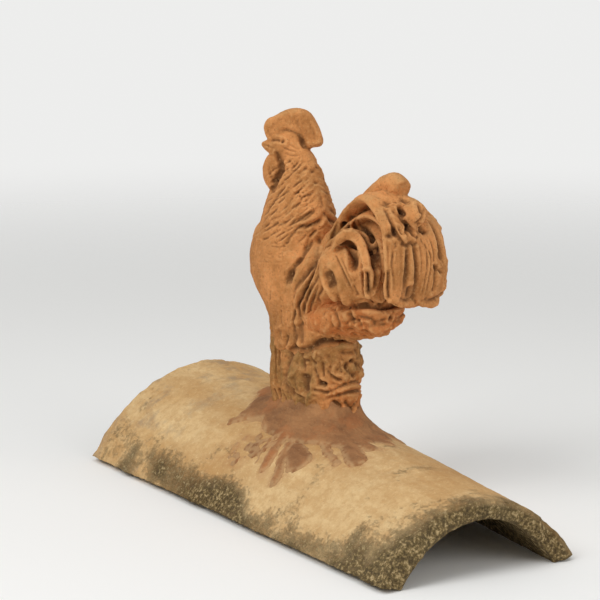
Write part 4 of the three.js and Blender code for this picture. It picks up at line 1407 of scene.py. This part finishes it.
def strand(places, width, thickness):
    t = np.linspace(0, 1, 40)
    path = through([fromQuarter(*place) for place in places], 40)
    blunt = endRound(t, 0.85) * endRound(1 - t, 0.85)
    across = toBird((cutLevel + [birdAt["x"], 0, 0])[None])[0]
    return path, width / 2 * blunt, thickness / 2 * blunt, across


def buildTail():
    straps = [sickle(**s) for s in tailShape["sickles"]] + [curl(**c) for c in tailShape["curls"]]
    near = [strand(*s) for s in tailShape["strands"]]
    flank = bodyRun(tailShape["flank"], 50)
    core = [bodyRun(tailShape["web"], 50), bodyRun(tailShape["under"], 50)]
    shells = [
        sweptRuns(straps, 48, tailShape["ribs"], tailShape["ribDepth"]),
        sweptRuns(near + [mirrored(r) for r in near] + [strand(*tailShape["finger"])], 22),
        sweptRuns([*core, flank, mirrored(flank)], 40),
    ]
    shells.append(ball(*tailShape["knob"]))
    mesh = fused("cockerelTail", shells, tailShape["grain"])

    def roughness(points):
        return 1.25 * (1 - ease(points[:, 2], 168, 182)) + 0.08

    return finishClay("cockerelTail", mesh, tailCuts, roughness)


def buildGround():
    rng = np.random.default_rng(11)
    legs = [bodyRun(onSide(groundShape["leg"], side), 50, 0.08) for side in (-1, 1)]
    shells = [sweptRuns([bodyRun(groundShape["mound"], 60, 0.04)], 64), sweptRuns(legs, 20)]
    (footX, footY, footZ), radii = groundShape["foot"]
    shells += [ball((footX, side * footY, footZ), radii) for side in (1, -1)]
    for i in range(groundShape["tufts"]):
        turn = 2 * math.pi * i / groundShape["tufts"] + rng.uniform(-0.2, 0.2)
        height = rng.uniform(86, 138)
        if math.cos(turn) < -0.5:
            continue
        centre = (4 + math.cos(turn) * 42, math.sin(turn) * 21.5, height)
        shells.append(ball(centre, (rng.uniform(3, 7), rng.uniform(3, 5), rng.uniform(3, 9))))
    mesh = fused("cockerelGround", shells, groundShape["grain"])

    def roughness(points):
        return 0.3 + 0.75 * ease(points[:, 0], -32, -18) * ease(points[:, 2], 74, 92)

    return finishClay("cockerelGround", mesh, groundCuts, roughness)


# Studio

studioLook = {
    "floorColour": (0.93, 0.93, 0.915, 1),
    "floorReach": 2.3,
    "fadeFrom": 0.7,
    "backdrop": 0.85,  # how bright the space behind looks
    "skyLight": 0.44,  # how much light it gives
    "cameraAt": (1.526, -0.888, 0.5124),
    "lens": 132,
    # name, degrees anticlockwise from the camera's own side as seen from above, degrees up,
    # distance, size and power
    "lamps": [
        ("key", -48, 42, 2.4, 1.1, 24),
        ("fill", 50, 26, 2.6, 1.6, 15),
        ("top", -10, 82, 2.2, 1.6, 9),
    ],
    "aimHeight": 0.15,
}


def studio():
    camera = bpy.data.objects.new("camera", bpy.data.cameras.new("camera"))
    scene.collection.objects.link(camera)
    camera.location = studioLook["cameraAt"]
    camera.rotation_euler = (math.radians(90 - quarter["tip"]), 0, math.radians(quarter["turn"]))
    camera.data.lens = studioLook["lens"]
    camera.data.sensor_width = 36
    scene.camera = camera

    # a pale round floor that fades out into the backdrop, the same from every side
    turns = np.linspace(0, 2 * math.pi, 96, endpoint=False)
    far = studioLook["floorReach"]
    rim = [(far * math.cos(t), far * math.sin(t), -0.0002) for t in turns]
    floor = bpy.data.objects.new("floor", meshFrom("floor", rim, [tuple(range(len(rim)))]))
    scene.collection.objects.link(floor)
    material, tree, shader = newMaterial("paleFloor")
    shader.inputs["Base Color"].default_value = studioLook["floorColour"]
    shader.inputs["Roughness"].default_value = 0.9
    reach = vector(tree, "LENGTH", place(tree), result="Value")
    plug(tree, shader, "Alpha", spread(tree, reach, studioLook["fadeFrom"], far, 1.0, 0.0))
    floor.data.materials.append(material)

    world = bpy.data.worlds.new("studio")
    scene.world = world
    world.use_nodes = True
    tree = world.node_tree
    sky = tree.nodes["Background"]
    sky.inputs["Color"].default_value = (1, 1, 0.99, 1)
    seen = add(tree, "ShaderNodeLightPath").outputs["Is Camera Ray"]
    extra = times(tree, seen, studioLook["backdrop"] - studioLook["skyLight"])
    plug(tree, sky, "Strength", plus(tree, extra, studioLook["skyLight"]))
    for name, turn, height, distance, size, power in studioLook["lamps"]:
        lamp = bpy.data.objects.new(name, bpy.data.lights.new(name, "AREA"))
        scene.collection.objects.link(lamp)
        azimuth, climb = math.radians(quarter["turn"] + turn), math.radians(height)
        level = math.cos(climb)
        toward = Vector((math.sin(azimuth) * level, -math.cos(azimuth) * level, math.sin(climb)))
        lamp.location = toward * distance + Vector((0, 0, studioLook["aimHeight"]))
        lamp.rotation_euler = toward.to_track_quat("Z", "Y").to_euler()
        lamp.data.energy = power
        lamp.data.size = size
    scene.view_settings.view_transform = "Standard"


studio()
claySkin = firedClay()
buildTile()
buildBed()
buildBody()
buildTail()
buildGround()
